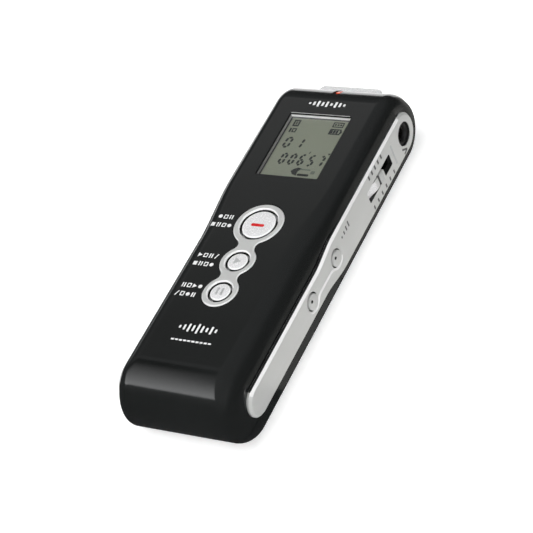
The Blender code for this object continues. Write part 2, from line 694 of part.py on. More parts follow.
def make_display():
    outer = (WINDOW_WIDTH - 0.3, WINDOW_HEIGHT - 0.3)
    inner = (outer[0] - 2.0 * FRAME_WIDTH, outer[1] - 2.0 * FRAME_WIDTH)
    frame_plate("display_bezel", WINDOW_Y, outer, inner, LENS_TOP_Z - LENS_THICK,
                THICKNESS - 0.2, CHROME)
    lens = (inner[0] / 2 - 0.1, inner[1] / 2 - 0.1)
    box("display_lens", (-lens[0], WINDOW_Y - lens[1], LENS_TOP_Z - LENS_THICK),
        (lens[0], WINDOW_Y + lens[1], LENS_TOP_Z), CLEAR, 0.15)
    panel_top = LENS_TOP_Z - LENS_THICK - 0.1
    box("display_panel", (-9.6, WINDOW_Y - 13.2, panel_top - 1.9),
        (9.6, WINDOW_Y + 11.6, panel_top), LCD_GREY)
    box("display_backlight", (-9.3, WINDOW_Y - 10.8, BOARD_Z[1] + 0.15),
        (9.3, WINDOW_Y + 11.4, panel_top - 2.05), WHITE)
    box("zebra_connector", (-9.0, WINDOW_Y - 13.0, BOARD_Z[1] + 0.15),
        (9.0, WINDOW_Y - 11.4, panel_top - 2.05), RUBBER)


def make_record_light():
    """A light pipe that follows the top edge of the front shell, with its LED below it."""
    centre = top_front_centre()
    start, end = LIGHT_PIPE_ARC
    outer = arc(centre, TOP_FRONT_R - 0.15, start, end, 5)
    inner = arc(centre, TOP_FRONT_R - 1.4, end, start, 5)
    prism("record_light_pipe", outer + inner, FACE_RIGHT, -0.55, 0.55, LED_ORANGE)
    box("record_led", (-0.8, 42.2, BOARD_Z[1] + 0.1), (0.8, 43.8, BOARD_Z[1] + 0.8), WHITE, 0.1)


# ---- electronics --------------------------------------------------------------------------------
def make_board():
    board = box("main_board", (-BOARD_X, BOARD_Y[0], BOARD_Z[0]), (BOARD_X, BOARD_Y[1], BOARD_Z[1]),
                BOARD_GREEN)
    for x, y in BOSS_XY:
        cut_bore(board, (x, y, 10.0), BOSS_R + 0.3, 8.0, "Z", 20)
    low = BOARD_Z[0] - 0.1
    box("processor_chip", (-5.0, 29.0, low - 1.2), (5.0, 39.0, low), CHIP_BLACK, 0.1)
    box("flash_chip", (-9.2, 6.0, low - 1.1), (9.2, 18.0, low), CHIP_BLACK, 0.1)
    box("clock_crystal", (6.6, 31.0, low - 2.0), (8.6, 36.0, low), STEEL, 0.3)


def make_jack(name, side):
    """A 3.5 mm socket: a moulded body with a round neck that faces out of the side."""
    body_x = (3.2, 13.9)
    low = (min(side * body_x[0], side * body_x[1]), JACK_Y - 3.0, AXIS_Z - 2.8)
    high = (max(side * body_x[0], side * body_x[1]), JACK_Y + 3.0, AXIS_Z + 2.8)
    jack = box(name, low, high, SATIN_BLACK)
    neck_start = 13.5 if side > 0 else -16.3
    neck = cylinder(name + "_neck", (neck_start, JACK_Y, AXIS_Z), JACK_RIM_R - 0.25, 2.8, "X",
                    None, 32, CUTTERS)
    combine(jack, neck, "UNION")
    bore_start = 4.5 if side > 0 else -20.0
    cut_bore(jack, (bore_start, JACK_Y, AXIS_Z), JACK_BORE_R, 15.5, "X", 28)
    return jack


def make_usb_port():
    half_y = USB_SIZE[0] / 2.0
    half_z = USB_SIZE[1] / 2.0
    mouth_x = -SIDE_X + 0.1
    back_x = mouth_x + USB_DEPTH
    port = box("usb_port", (mouth_x, USB_Y - half_y, AXIS_Z - half_z),
               (back_x, USB_Y + half_y, AXIS_Z + half_z), STEEL)
    wall = 0.35
    cut_box(port, (-FAR, USB_Y - half_y + wall, AXIS_Z - half_z + wall),
            (back_x - 1.8, USB_Y + half_y - wall, AXIS_Z + half_z - wall))
    tongue = box("usb_tongue", (mouth_x + 1.6, USB_Y - 2.6, AXIS_Z - 0.4),
                 (back_x - 1.4, USB_Y + 2.6, AXIS_Z + 0.4), None, collection=CUTTERS)
    combine(port, tongue, "UNION")
    return port


def make_speaker():
    centre = (0.0, SPEAKER_Y, 1.5)
    profile = [(SPEAKER_R, 0.0), (SPEAKER_R, 1.6), (6.0, 2.4), (6.0, 4.0)]
    turned("speaker", centre, profile, "Z", CHIP_BLACK, 36)


# ---- battery bay --------------------------------------------------------------------------------
def make_battery_tray():
    tray = box("battery_tray", (-TRAY_X, TRAY_Y[0], TRAY_Z[0]), (TRAY_X, TRAY_Y[1], TRAY_Z[1]),
               SATIN_BLACK)
    cut_box(tray, (-TRAY_X + TRAY_WALL, TRAY_Y[0] + TRAY_WALL, 0.0),
            (TRAY_X - TRAY_WALL, TRAY_Y[1] - TRAY_WALL, TRAY_Z[1] - 0.5))
    return tray


def make_cell(name, x, turned_over):
    """An AAA cell: a can with a raised positive button at one end."""
    button = 0.8
    profile = [(CELL_R - 0.6, 0.0), (CELL_R, 0.5), (CELL_R, CELL_LENGTH - button - 0.5),
               (CELL_R - 0.6, CELL_LENGTH - button), (1.9, CELL_LENGTH - button),
               (1.9, CELL_LENGTH)]
    if turned_over:
        profile = [(radius, CELL_LENGTH - height) for radius, height in reversed(profile)]
    turned(name, (x, CELL_Y[0], CELL_Z), profile, "Y", CELL_WRAP, 32)


def make_spring(name, x, y_start, y_end):
    """A conical contact spring wound from round wire."""
    turns = 2.5
    steps = 30
    curve = bpy.data.curves.new(name, "CURVE")
    curve.dimensions = "3D"
    curve.bevel_depth = 0.22
    curve.bevel_resolution = 1
    curve.use_fill_caps = True
    spline = curve.splines.new("POLY")
    spline.points.add(steps)
    for k in range(steps + 1):
        share = k / steps
        angle = 2.0 * math.pi * turns * share
        radius = 3.2 - 1.5 * share
        y = y_start + (y_end - y_start) * share
        z = CELL_Z + 1.0 + radius * math.sin(angle)
        spline.points[k].co = (x + radius * math.cos(angle), y, z, 1.0)
    return finish_mesh(name, mesh_from_curve(name, curve), STEEL)


def make_battery_bay():
    make_battery_tray()
    make_cell("battery_cell_left", -CELL_X, False)
    make_cell("battery_cell_right", CELL_X, True)
    wall_low = TRAY_Y[0] + TRAY_WALL
    wall_high = TRAY_Y[1] - TRAY_WALL
    make_spring("battery_spring_left", -CELL_X, wall_low + 0.5, CELL_Y[0] - 0.5)
    make_spring("battery_spring_right", CELL_X, wall_high - 0.5, CELL_Y[1] + 0.5)
    box("contact_plate_left", (-CELL_X - 3.0, wall_high - 0.35, 5.4),
        (-CELL_X + 3.0, wall_high - 0.1, 11.0), STEEL)
    box("contact_plate_right", (CELL_X - 3.0, wall_low + 0.1, 5.4),
        (CELL_X + 3.0, wall_low + 0.35, 11.0), STEEL)


def make_screws():
    for index, (x, y) in enumerate(BOSS_XY, start=1):
        profile = [(SCREW_HEAD_R - 0.2, 0.0), (SCREW_HEAD_R, 0.2), (SCREW_HEAD_R, 0.9),
                   (SCREW_SHAFT_R, 0.9), (SCREW_SHAFT_R, 8.5)]
        screw = turned("case_screw_%d" % index, (x, y, 0.4), profile, "Z", STEEL, 20)
        for half in ((0.9, 0.16), (0.16, 0.9)):
            cut_box(screw, (x - half[0], y - half[1], 0.0), (x + half[0], y + half[1], 0.8))


CAVITY = casing_solid("cavity", WALL, None, CUTTERS, 3)
make_front_shell()
make_back_shell()
make_battery_door()
make_right_trim()
make_left_trim()
make_microphone_head()
make_display()
make_record_light()
make_button_bezel()
make_front_buttons()
make_volume_buttons()
make_slide_switch()
make_jack("headphone_jack", 1)
make_jack("line_in_jack", -1)
make_usb_port()
make_board()
make_speaker()
make_battery_bay()
make_screws()
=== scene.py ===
"""The voice recorder in a plain studio, built round the frame's CAD nodes.

Lengths are in millimetres and are scaled to metres when a mesh is made. The recorder lies on its
back: +Z is the front face, +Y is the microphone end and +X is the side with the headphone jack.
"""
import math

import bmesh
import bpy
from mathutils import Matrix, Vector


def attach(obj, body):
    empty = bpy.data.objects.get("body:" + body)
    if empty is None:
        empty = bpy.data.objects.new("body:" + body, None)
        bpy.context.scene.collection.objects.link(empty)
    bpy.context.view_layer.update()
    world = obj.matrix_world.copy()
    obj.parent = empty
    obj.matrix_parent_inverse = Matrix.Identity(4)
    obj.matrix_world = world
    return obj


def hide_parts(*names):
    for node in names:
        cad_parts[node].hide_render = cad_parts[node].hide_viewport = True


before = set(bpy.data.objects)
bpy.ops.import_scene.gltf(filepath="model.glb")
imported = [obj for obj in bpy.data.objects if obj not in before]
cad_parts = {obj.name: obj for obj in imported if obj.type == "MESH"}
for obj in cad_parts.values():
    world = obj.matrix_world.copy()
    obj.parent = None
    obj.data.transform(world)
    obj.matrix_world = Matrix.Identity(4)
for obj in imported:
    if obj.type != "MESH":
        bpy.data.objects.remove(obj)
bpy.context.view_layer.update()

MM = 0.001
SHARP_ANGLE = math.radians(30.0)    # edges sharper than this stay sharp in smooth shading

# ---- the casing's form, as in the CAD model ----
THICKNESS = 18.8
SIDE_X = 16.3
AXIS_Z = 8.3
BOTTOM_Y = -52.1
TOP_Y = 51.1
END_BACK_R = AXIS_Z
BOTTOM_FRONT_R = THICKNESS - AXIS_Z
TOP_FRONT_R = 9.9
TOP_LEAN = 24.0
BACK_EDGE_R = 2.1
WALL = 1.3
SHELL_SPLIT_Z = 4.5
SEAM = 0.2
FIT = 0.2
DOOR_TOP_Y = -0.2           # upper edge of the battery door
FAR = 80.0                  # further out than any point of the recorder
WAIST_START_Y = 14.0
WAIST_END_Y = -6.0
UPPER_SHOULDER = (12.7, 3.6, 75.0)      # flat half width, radius, swept degrees
LOWER_SHOULDER = (10.6, 5.0, 85.0)

WINDOW_Y = 25.8
WINDOW_WIDTH = 17.3
WINDOW_HEIGHT = 21.0
WINDOW_CORNER_R = 0.5
LENS_TOP_Z = THICKNESS - 0.7
LENS_THICK = 0.6
LCD_Z = LENS_TOP_Z - LENS_THICK - 0.1   # face of the display panel

# label, y, radius of the bezel's lobe, radius of the hole
BUTTONS = (("rec", 0.0, 6.3, 4.75), ("play", -11.65, 4.5, 3.05), ("pause", -21.0, 4.5, 3.05))
NECK_FILLET_R = 1.8
BEZEL_Z = (THICKNESS - 0.75, THICKNESS + 0.05)
BUTTON_GAP = 0.45
BUTTON_RIM_Z = THICKNESS - 0.4
BUTTON_CROWN = 0.45
BUTTON_FOOT_Z = 15.8

TRIM_FACE_X = 16.9
TRIM_BACK_X = 15.65
TRIM_BEVEL = 0.6
TRIM_WIDE = 5.3
TRIM_NARROW = 4.0
TRIM_TOP_Y = 42.0
TRIM_BOTTOM_Y = -41.4
TRIM_STEP_Y = (3.2, -7.5)
LEFT_TRIM_FACE_X = 17.1
LEFT_TRIM_Z = 8.8
LEFT_TRIM_HALF = 5.7
LEFT_TRIM_BOTTOM_Y = -42.4

JACK_Y = 42.0
JACK_BORE_R = 1.8
JACK_RIM_R = 3.0
KNOB_LENGTH = 8.4
KNOB_TRAVEL = 4.5
KNOB_GAP = 0.25
SLOT_Y = 26.8
SLOT_HALF_LENGTH = (KNOB_LENGTH + KNOB_TRAVEL) / 2 + KNOB_GAP
SLOT_HALF_WIDTH = 1.65
KNOB_LOW_Y = SLOT_Y - (KNOB_TRAVEL + KNOB_LENGTH) / 2
KNOB_HIGH_Y = KNOB_LOW_Y + KNOB_LENGTH
VOLUME_YS = (1.0, -12.5)
VOLUME_R = 2.3
VOLUME_FOOT_X = 13.8
USB_Y = 25.0
USB_SIZE = (7.7, 3.9)

HEAD_HALF_WIDTH = 8.85
HEAD_Z = (4.6, 13.9)
HEAD_Y = (49.0, 51.5)
HEAD_CORNER = (0.8, 1.1)
HEAD_BEVEL = 0.9
MIC_X = 4.4
MIC_HOLE_R = 2.2

BOSS_XY = [(side * 12.2, y) for y in (36.0, 6.5) for side in (-1, 1)]
BOSS_R = 2.1
BOSS_TOP_Z = 17.7
SCREW_HOLE_R = 1.0
SCREW_HEAD_R = 1.55
SPEAKER_Y = 17.0
LIGHT_PIPE_ARC = (62.0, 38.0)

# ---- details that only this model has ----
DUMBBELL_R = 2.75           # the recess that links the volume buttons
DUMBBELL_NECK = 1.05
DUMBBELL_FILLET_R = 2.6
DUMBBELL_DEPTH = 0.3
GROOVE_Y = 35.2             # the groove across the right trim above the slide switch
GROOVE_Z = (5.0, 11.0)
VOLUME_DOT = (-0.78, 0.95)  # dimple of a volume button, from its centre
VOLUME_DOT_R = 0.36
KNOB_SLOPE = 4.2            # length of the knob's sloping end
KNOB_GROOVE_Y = KNOB_LOW_Y + 5.95
KNOB_RIBS_Y = KNOB_LOW_Y + 6.45
CAP_GAP = BUTTON_GAP + 0.12     # round a front button, a little wider than in the CAD model
PRINT_LIFT = 0.03           # thickness of a printed mark
PRINT_SINK = 0.03           # how far a printed mark reaches into its surface
SYMBOL_PITCH = 1.5
DIGIT_STROKE = 0.64
DIGIT_LEAN = 0.1
SEGMENTS = {0: "abcdef", 1: "bc", 5: "acdfg", 6: "acdefg", 7: "abc"}    # lit strokes of a numeral
# ends of the strokes, in half widths and half heights
SEGMENT_ENDS = {"a": ((-1, 1), (1, 1)), "b": ((1, 1), (1, 0)), "c": ((1, 0), (1, -1)),
                "d": ((-1, -1), (1, -1)), "e": ((-1, 0), (-1, -1)), "f": ((-1, 1), (-1, 0)),
                "g": ((-1, 0), (1, 0))}
# each row's y, numeral width and height, and its numerals with their x
DISPLAY_ROWS = ((27.45, 2.0, 3.75, ((0, -5.6), (1, -2.3))),
                (22.1, 1.75, 3.85, ((0, -4.4), (0, -1.8), (6, 0.75), (5, 3.45), (7, 6.0))))

# ---- camera, in millimetres and degrees ----
AIM = Vector((2.60, -6.54, 11.58))
CAMERA_DISTANCE = 456.2
CAMERA_AZIMUTH = 44.32
CAMERA_ELEVATION = 41.96
CAMERA_ROLL = 26.2
CAMERA_LENS = 132.8
SENSOR_WIDTH = 36.0

# ---- studio, in metres ----
FLOOR_HALF = 4.0
BACKDROP_HEIGHT = 3.0
CARD_Z = 0.0001             # the cards that lie on the floor
SOFTBOX_Z = 0.6


# ---- helpers ----
def add_object(name, data):
    obj = bpy.data.objects.new(name, data)
    bpy.context.scene.collection.objects.link(obj)
    return obj


def add_mesh(name, bm, material=None):
    """Turns a bmesh in millimetres into an object in metres that sits at the origin."""
    bmesh.ops.recalc_face_normals(bm, faces=bm.faces)
    bmesh.ops.scale(bm, verts=bm.verts, vec=(MM, MM, MM))
    mesh = bpy.data.meshes.new(name)
    bm.to_mesh(mesh)
    bm.free()
    mesh.shade_smooth()
    mesh.set_sharp_from_angle(angle=SHARP_ANGLE)
    if material:
        mesh.materials.append(material)
    return add_object(name, mesh)


def settle(obj):
    """Replaces an object's mesh by its modified one."""
    graph = bpy.context.evaluated_depsgraph_get()
    mesh = bpy.data.meshes.new_from_object(obj.evaluated_get(graph))
    obj.modifiers.clear()
    old = obj.data
    obj.data = mesh
    bpy.data.meshes.remove(old)
    mesh.name = obj.name
    mesh.set_sharp_from_angle(angle=SHARP_ANGLE)
    return obj


def combine(obj, others, operation="DIFFERENCE"):
    """Adds one Boolean that uses all the other objects, and removes them once it is worked out."""
    collection = bpy.data.collections.new(obj.name + "_" + operation.lower())
    bpy.context.scene.collection.children.link(collection)
    for other in others:
        collection.objects.link(other)
    modifier = obj.modifiers.new(operation.lower(), "BOOLEAN")
    modifier.operand_type = "COLLECTION"
    modifier.collection = collection
    modifier.operation = operation
    modifier.solver = "EXACT"
    settle(obj)
    for other in others:
        bpy.data.objects.remove(other, do_unlink=True)
    bpy.data.collections.remove(collection)
    return obj


def soften(obj, width, segments=2, angle=35.0):
    """Rounds the sharp edges a little and keeps the flats flat in shading."""
    bevel = obj.modifiers.new("soft_edges", "BEVEL")
    bevel.width = width * MM
    bevel.segments = segments
    bevel.limit_method = "ANGLE"
    bevel.angle_limit = math.radians(angle)
    bevel.miter_outer = "MITER_ARC"
    settle(obj)
    weighted = obj.modifiers.new("flat_shading", "WEIGHTED_NORMAL")
    weighted.keep_sharp = True
    weighted.weight = 80
    return obj


def add_block(bm, low, high):
    made = bmesh.ops.create_cube(bm, size=1.0)["verts"]
    bmesh.ops.scale(bm, verts=made, vec=[b - a for a, b in zip(low, high)])
    bmesh.ops.translate(bm, verts=made, vec=[(a + b) / 2 for a, b in zip(low, high)])


def box(name, low, high, material=None, bevel=0.0):
    bm = bmesh.new()
    add_block(bm, low, high)
    if bevel > 0.0:
        bmesh.ops.bevel(bm, geom=bm.edges[:], offset=bevel, segments=3, affect="EDGES", profile=0.5)
    return add_mesh(name, bm, material)


AXIS_TURN = {
    "X": Matrix.Rotation(math.radians(90.0), 4, "Y"),
    "Y": Matrix.Rotation(math.radians(-90.0), 4, "X"),
    "Z": Matrix.Identity(4),
}


def cylinder(name, centre, radius, length, axis, material=None, segments=48):
    """A cylinder that starts at centre and runs along the axis."""
    bm = bmesh.new()
    bmesh.ops.create_cone(bm, cap_ends=True, segments=segments, radius1=radius, radius2=radius,
                          depth=length)
    bmesh.ops.translate(bm, verts=bm.verts, vec=(0.0, 0.0, length / 2))
    bmesh.ops.transform(bm, matrix=Matrix.Translation(centre) @ AXIS_TURN[axis], verts=bm.verts)
    return add_mesh(name, bm, material)


def turned(name, centre, profile, axis, material, segments=64):
    """A turned piece: profile is a closed loop or a chain of (radius, height) from axis to axis."""
    bm = bmesh.new()
    points = [bm.verts.new((radius, 0.0, height)) for radius, height in profile]
    edges = [bm.edges.new(pair) for pair in zip(points, points[1:])]
    if profile[0][0] > 0.0:
        edges.append(bm.edges.new((points[-1], points[0])))
    bmesh.ops.spin(bm, geom=points + edges, cent=(0, 0, 0), axis=(0, 0, 1),
                   angle=math.radians(360.0), steps=segments, use_merge=True)
    bmesh.ops.remove_doubles(bm, verts=bm.verts, dist=0.0005)
    bmesh.ops.transform(bm, matrix=Matrix.Translation(centre) @ AXIS_TURN[axis], verts=bm.verts)
    return add_mesh(name, bm, material)


def tube(name, centre, radius, wall, heights, axis, material):
    low, high = heights
    profile = [(radius - wall, low), (radius, low), (radius, high), (radius - wall, high)]
    return turned(name, centre, profile, axis, material)


FACE_UP = Matrix.Identity(4)
# u runs along +Y, v along +Z, and the height runs along +X or, for the left side, along -X
FACE_RIGHT = Matrix(((0, 0, 1, 0), (1, 0, 0, 0), (0, 1, 0, 0), (0, 0, 0, 1)))
FACE_LEFT = Matrix(((0, 0, -1, 0), (1, 0, 0, 0), (0, 1, 0, 0), (0, 0, 0, 1)))
# u runs along +Y, v along +X, and the height runs along +Z
FACE_PLAN = Matrix(((0, 1, 0, 0), (1, 0, 0, 0), (0, 0, 1, 0), (0, 0, 0, 1)))


def add_loft(bm, rings, place):
    """Adds outlines of equally many points, each at its own height, joined and capped."""
    rows = []
    for outline, height in rings:
        rows.append([bm.verts.new(place @ Vector((u, v, height))) for u, v in outline])
    for low, high in zip(rows, rows[1:]):
        count = len(low)
        for k in range(count):
            nxt = (k + 1) % count
            bm.faces.new((low[k], low[nxt], high[nxt], high[k]))
    bm.faces.new(rows[0])
    bm.faces.new(rows[-1])


def loft(name, rings, place, material=None):
    bm = bmesh.new()
    add_loft(bm, rings, place)
    return add_mesh(name, bm, material)


def plate(name, outline, place, low, high, material=None):
    return loft(name, [(outline, low), (outline, high)], place, material)


def marks(name, outlines, place, low, high, material):
    """Several flat marks in one mesh."""
    bm = bmesh.new()
    for outline in outlines:
        add_loft(bm, [(outline, low), (outline, high)], place)
    return add_mesh(name, bm, material)


def funnel(centre, radii, heights, place, segments=48):
    """A round cutter whose radius changes from height to height."""
    rings = [(circle(centre, radius, segments), height) for radius, height in zip(radii, heights)]
    return loft("cut", rings, place)


def bevel_rings(outline_at, low, high, bevel):
    """Rings of a plate whose upper rim has a flat bevel with eased corners."""
    ease = 0.12 * bevel
    return [(outline_at(0.0), low), (outline_at(0.0), high - bevel - ease),
            (outline_at(-0.3 * ease), high - bevel + 0.3 * ease),
            (outline_at(-bevel + 0.3 * ease), high - 0.3 * ease),
            (outline_at(-bevel - ease), high)]


def paint_faces(obj, material, chosen):
    """Gives a second material to the faces picked by chosen(centre in millimetres, normal)."""
    index = len(obj.data.materials)
    obj.data.materials.append(material)
    for polygon in obj.data.polygons:
        if chosen(polygon.center / MM, polygon.normal):
            polygon.material_index = index


def paint_rim_highlight_and_shade(obj, flat):
    """Paints a highlight on the slopes of a piece of the front, up to a nearly flat one, and paints
    its walls black as shade.
    """
    paint_faces(obj, PAINTED_HIGHLIGHT, lambda centre, normal: 0.2 < normal.z < flat)
    paint_faces(obj, SATIN_BLACK_AND_SHADE, lambda centre, normal: normal.z < 0.2)


def piece(obj, body, slot, *nodes):
    """Attaches a finished piece to the body it rides on and hides the nodes it stands for; the slot
    argument is not used.
    """
    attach(obj, body)
    if nodes:
        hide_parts(*nodes)
    return obj


def arc(centre, radius, start, end, steps):
    angles = [math.radians(start + (end - start) * k / steps) for k in range(steps + 1)]
    return [(centre[0] + radius * math.cos(angle), centre[1] + radius * math.sin(angle))
            for angle in angles]


def circle(centre, radius, steps=24):
    return arc(centre, radius, 0, 360, steps)[:-1]


def chain(*runs):
    """Joins runs of points into one outline, without the points where they meet twice."""
    points = []
    for point in sum(runs, []):
        if not points or math.dist(points[-1], point) > 1e-4:
            points.append(point)
    if math.dist(points[0], points[-1]) < 1e-4:
        points.pop()
    return points


def stadium(centre, half_length, half_width, steps=12):
    u, v = centre
    reach = half_length - half_width
    return (arc((u + reach, v), half_width, -90, 90, steps)
            + arc((u - reach, v), half_width, 90, 270, steps))


def rounded_box(centre, half_u, half_v, radius, steps=4):
    u, v = centre
    reach_u = half_u - radius
    reach_v = half_v - radius
    quarters = ((1, -1, -90), (1, 1, 0), (-1, 1, 90), (-1, -1, 180))
    return chain(*(arc((u + side_u * reach_u, v + side_v * reach_v), radius, start, start + 90, steps)
                   for side_u, side_v, start in quarters))


def bar(start, end, width):
    """A straight stroke with square ends."""
    along = (Vector(end) - Vector(start)).normalized() * (width / 2)
    across = Vector((-along.y, along.x))
    return [tuple(Vector(p) + s * across) for p, s in
            ((start, 1), (start, -1), (end, -1), (end, 1))]


def frame_bars(centre, half_u, half_v, width):
    """The four sides of a box drawn with strokes."""
    u, v = centre
    half = width / 2
    level = [rounded_box((u, v + side * (half_v - half)), half_u, half, 0.2 * width, 1)
             for side in (1, -1)]
    upright = [rounded_box((u + side * (half_u - half), v), half, half_v - width, 0.1 * width, 1)
               for side in (-1, 1)]
    return level + upright


def smooth_step(value):
    value = min(max(value, 0.0), 1.0)
    return value * value * (3.0 - 2.0 * value)


# ---- materials ----
def new_material(name):
    material = bpy.data.materials.new(name)
    material.use_nodes = True
    tree = material.node_tree
    return material, tree, tree.nodes["Principled BSDF"]


def fill(tree, node, **inputs):
    """Sets each named input, or links it where it is given an output; _ stands for a space."""
    for name, value in inputs.items():
        socket = node.inputs[name.replace("_", " ")]
        if isinstance(value, bpy.types.NodeSocket):
            tree.links.new(value, socket)
        else:
            socket.default_value = value


def add_node(tree, kind, **inputs):
    node = tree.nodes.new("ShaderNode" + kind)
    fill(tree, node, **inputs)
    return node


def coordinates(tree, kind="Object"):
    return add_node(tree, "TexCoord").outputs[kind]


def coordinate(tree, axis, kind="Object"):
    """One coordinate of the place that is shaded."""
    return add_node(tree, "SeparateXYZ", Vector=coordinates(tree, kind)).outputs[axis]


def object_noise(tree, scale, detail=3.0, stretch=(1.0, 1.0, 1.0)):
    mapping = add_node(tree, "Mapping", Vector=coordinates(tree), Scale=stretch)
    noise = add_node(tree, "TexNoise", Vector=mapping.outputs["Vector"], Scale=scale, Detail=detail)
    return noise.outputs["Fac"]


def map_range(tree, value, low, high, from_low=0.3, from_high=0.7):
    node = add_node(tree, "MapRange", Value=value, From_Min=from_low, From_Max=from_high,
                    To_Min=low, To_Max=high)
    return node.outputs["Result"]


def mix_colours(tree, factor, first, second):
    node = add_node(tree, "Mix")
    node.data_type = "RGBA"
    fill(tree, node, Factor=factor, A=(*first, 1.0), B=(*second, 1.0))
    return node.outputs["Result"]


def bumped_normal(tree, height, distance):
    """The normal of a surface whose relief is distance millimetres deep."""
    bump = add_node(tree, "Bump", Strength=1.0, Distance=distance * MM, Height=height)
    return bump.outputs["Normal"]


def finish(name, colour, roughness, metallic=0.0, vary=0.08, rough_vary=0.04, grain=900.0,
           bump=0.01, stretch=(1.0, 1.0, 1.0), **sockets):
    """A moulded, painted or metal finish: broad colour drift, fine grain and uneven gloss."""
    material, tree, shader = new_material(name)
    broad = map_range(tree, object_noise(tree, 60.0, 4.0), 0.0, 1.0)
    fine = object_noise(tree, grain, 2.0, stretch)
    darker = [c * (1.0 - vary) for c in colour]
    lighter = [min(c * (1.0 + vary), 1.0) for c in colour]
    fill(tree, shader, Base_Color=mix_colours(tree, broad, darker, lighter),
         Roughness=map_range(tree, fine, roughness - rough_vary, roughness + rough_vary),
         Metallic=metallic, Normal=bumped_normal(tree, fine, bump), **sockets)
    return material


def make_board_material():
    """Green solder mask over a grid of thin lighter tracks."""
    material, tree, shader = new_material("board_green")
    bricks = add_node(tree, "TexBrick", Vector=coordinates(tree), Scale=260.0, Mortar_Size=0.035,
                      Color1=(0.012, 0.10, 0.035, 1.0), Color2=(0.016, 0.13, 0.045, 1.0),
                      Mortar=(0.06, 0.26, 0.09, 1.0))
    fill(tree, shader, Base_Color=bricks.outputs["Color"],
         Roughness=map_range(tree, object_noise(tree, 500.0), 0.28, 0.42),
         Normal=bumped_normal(tree, bricks.outputs["Fac"], 0.02))
    return material


def make_cell_material():
    """A printed cell wrap: a dark body with a copper-coloured band at one end."""
    material, tree, shader = new_material("cell_wrap")
    band = map_range(tree, coordinate(tree, "Y"), 0.0, 1.0, -14.2 * MM, -14.0 * MM)
    noise = object_noise(tree, 300.0)
    fill(tree, shader, Base_Color=mix_colours(tree, band, (0.02, 0.05, 0.14), (0.55, 0.27, 0.12)),
         Roughness=map_range(tree, noise, 0.22, 0.32), Metallic=0.5,
         Normal=bumped_normal(tree, noise, 0.01))
    return material


def make_lcd_material():
    """The reflector behind the display glass, a little darker towards the microphone end."""
    material, tree, shader = new_material("display_grey")
    drift = map_range(tree, coordinate(tree, "Y"), 0.0, 1.0, 15.0 * MM, 36.0 * MM)
    grain = object_noise(tree, 5000.0, 1.0)
    fill(tree, shader, Base_Color=mix_colours(tree, drift, (0.31, 0.33, 0.25), (0.27, 0.29, 0.215)),
         Roughness=map_range(tree, grain, 0.45, 0.6), Normal=bumped_normal(tree, grain, 0.004))
    return material


# name, colour, roughness, metallic, drift of colour, drift of gloss, scale of grain, bump in mm
GLOSS_BLACK = finish("gloss_black", (0.0095, 0.0105, 0.0102), 0.13, 0.0, 0.1, 0.02, 1500.0, 0.0006)
# black plastic of real parts, also painted on walls of openings and gaps as shade
SATIN_BLACK_AND_SHADE = finish("satin_black", (0.018, 0.018, 0.018), 0.42, 0.0, 0.1, 0.06, 2500.0, 0.006)
SILVER = finish("satin_silver", (0.68, 0.685, 0.67), 0.36, 0.35, 0.02, 0.05, 6000.0, 0.0015)
BRIGHT = finish("bright_silver", (0.78, 0.78, 0.78), 0.2, 0.7, 0.02, 0.04, 4000.0, 0.001)
# silver of the caps and the head, also painted on the knob's sloping end as a highlight
CAP_SILVER_AND_HIGHLIGHT = finish("cap_silver_and_painted_highlight", (0.9, 0.895, 0.9), 0.26, 0.25, 0.02, 0.04, 6000.0, 0.0015)
# near-white paint for chamfers and walls that face the light: a painted highlight
PAINTED_HIGHLIGHT = finish("painted_highlight", (0.95, 0.95, 0.945), 0.22, 0.05, 0.02, 0.04, 4000.0, 0.001)
WHITE = finish("white_plastic", (0.78, 0.78, 0.76), 0.45, 0.0, 0.03, 0.05, 3000.0, 0.002)
RUBBER = finish("grey_rubber", (0.07, 0.07, 0.07), 0.75, 0.0, 0.1, 0.08, 2500.0, 0.01)
CHIP_BLACK = finish("chip_black", (0.025, 0.025, 0.026), 0.55, 0.0, 0.1, 0.06, 3500.0, 0.008)
STEEL = finish("steel", (0.56, 0.55, 0.53), 0.28, 1.0, 0.05, 0.06, 1200.0, 0.003, (1.0, 12.0, 1.0))
PRINT_WHITE = finish("print_white", (0.86, 0.86, 0.86), 0.5, 0.0, 0.02, 0.04, 4000.0, 0.001)
# pale grey print of the play and pause marks, also painted on a groove wall and the knob's ribs as
# shade
PRINT_AND_SHADE_PALE = finish("print_and_painted_shade_pale", (0.5, 0.51, 0.51), 0.4, 0.2, 0.02, 0.04, 4000.0, 0.001)
# dark grey of the side print, also painted in the knob's groove as shade
PRINT_AND_SHADE_GREY = finish("print_and_painted_shade_grey", (0.1, 0.1, 0.1), 0.5, 0.0, 0.05, 0.04, 4000.0, 0.001)
RED = finish("red_enamel", (0.62, 0.018, 0.02), 0.25, 0.0, 0.06, 0.03, 2500.0, 0.001)
LCD_INK = finish("lcd_ink", (0.002, 0.004, 0.006), 0.45, 0.0, 0.05, 0.04, 3000.0, 0.001,
                 Specular_IOR_Level=0.1)
LCD_FAINT = finish("lcd_faint_ink", (0.13, 0.15, 0.12), 0.4, 0.0, 0.05, 0.04, 3000.0, 0.001)
ORANGE = finish("light_orange", (0.85, 0.10, 0.03), 0.18, 0.0, 0.06, 0.03, 1500.0, 0.001)
CLEAR = finish("clear_acrylic", (0.97, 0.98, 0.97), 0.03, 0.0, 0.005, 0.01, 800.0, 0.0003,
               Transmission_Weight=1.0, IOR=1.49, Specular_IOR_Level=0.1)
BOARD_GREEN = make_board_material()
CELL_WRAP = make_cell_material()
LCD_GREY = make_lcd_material()


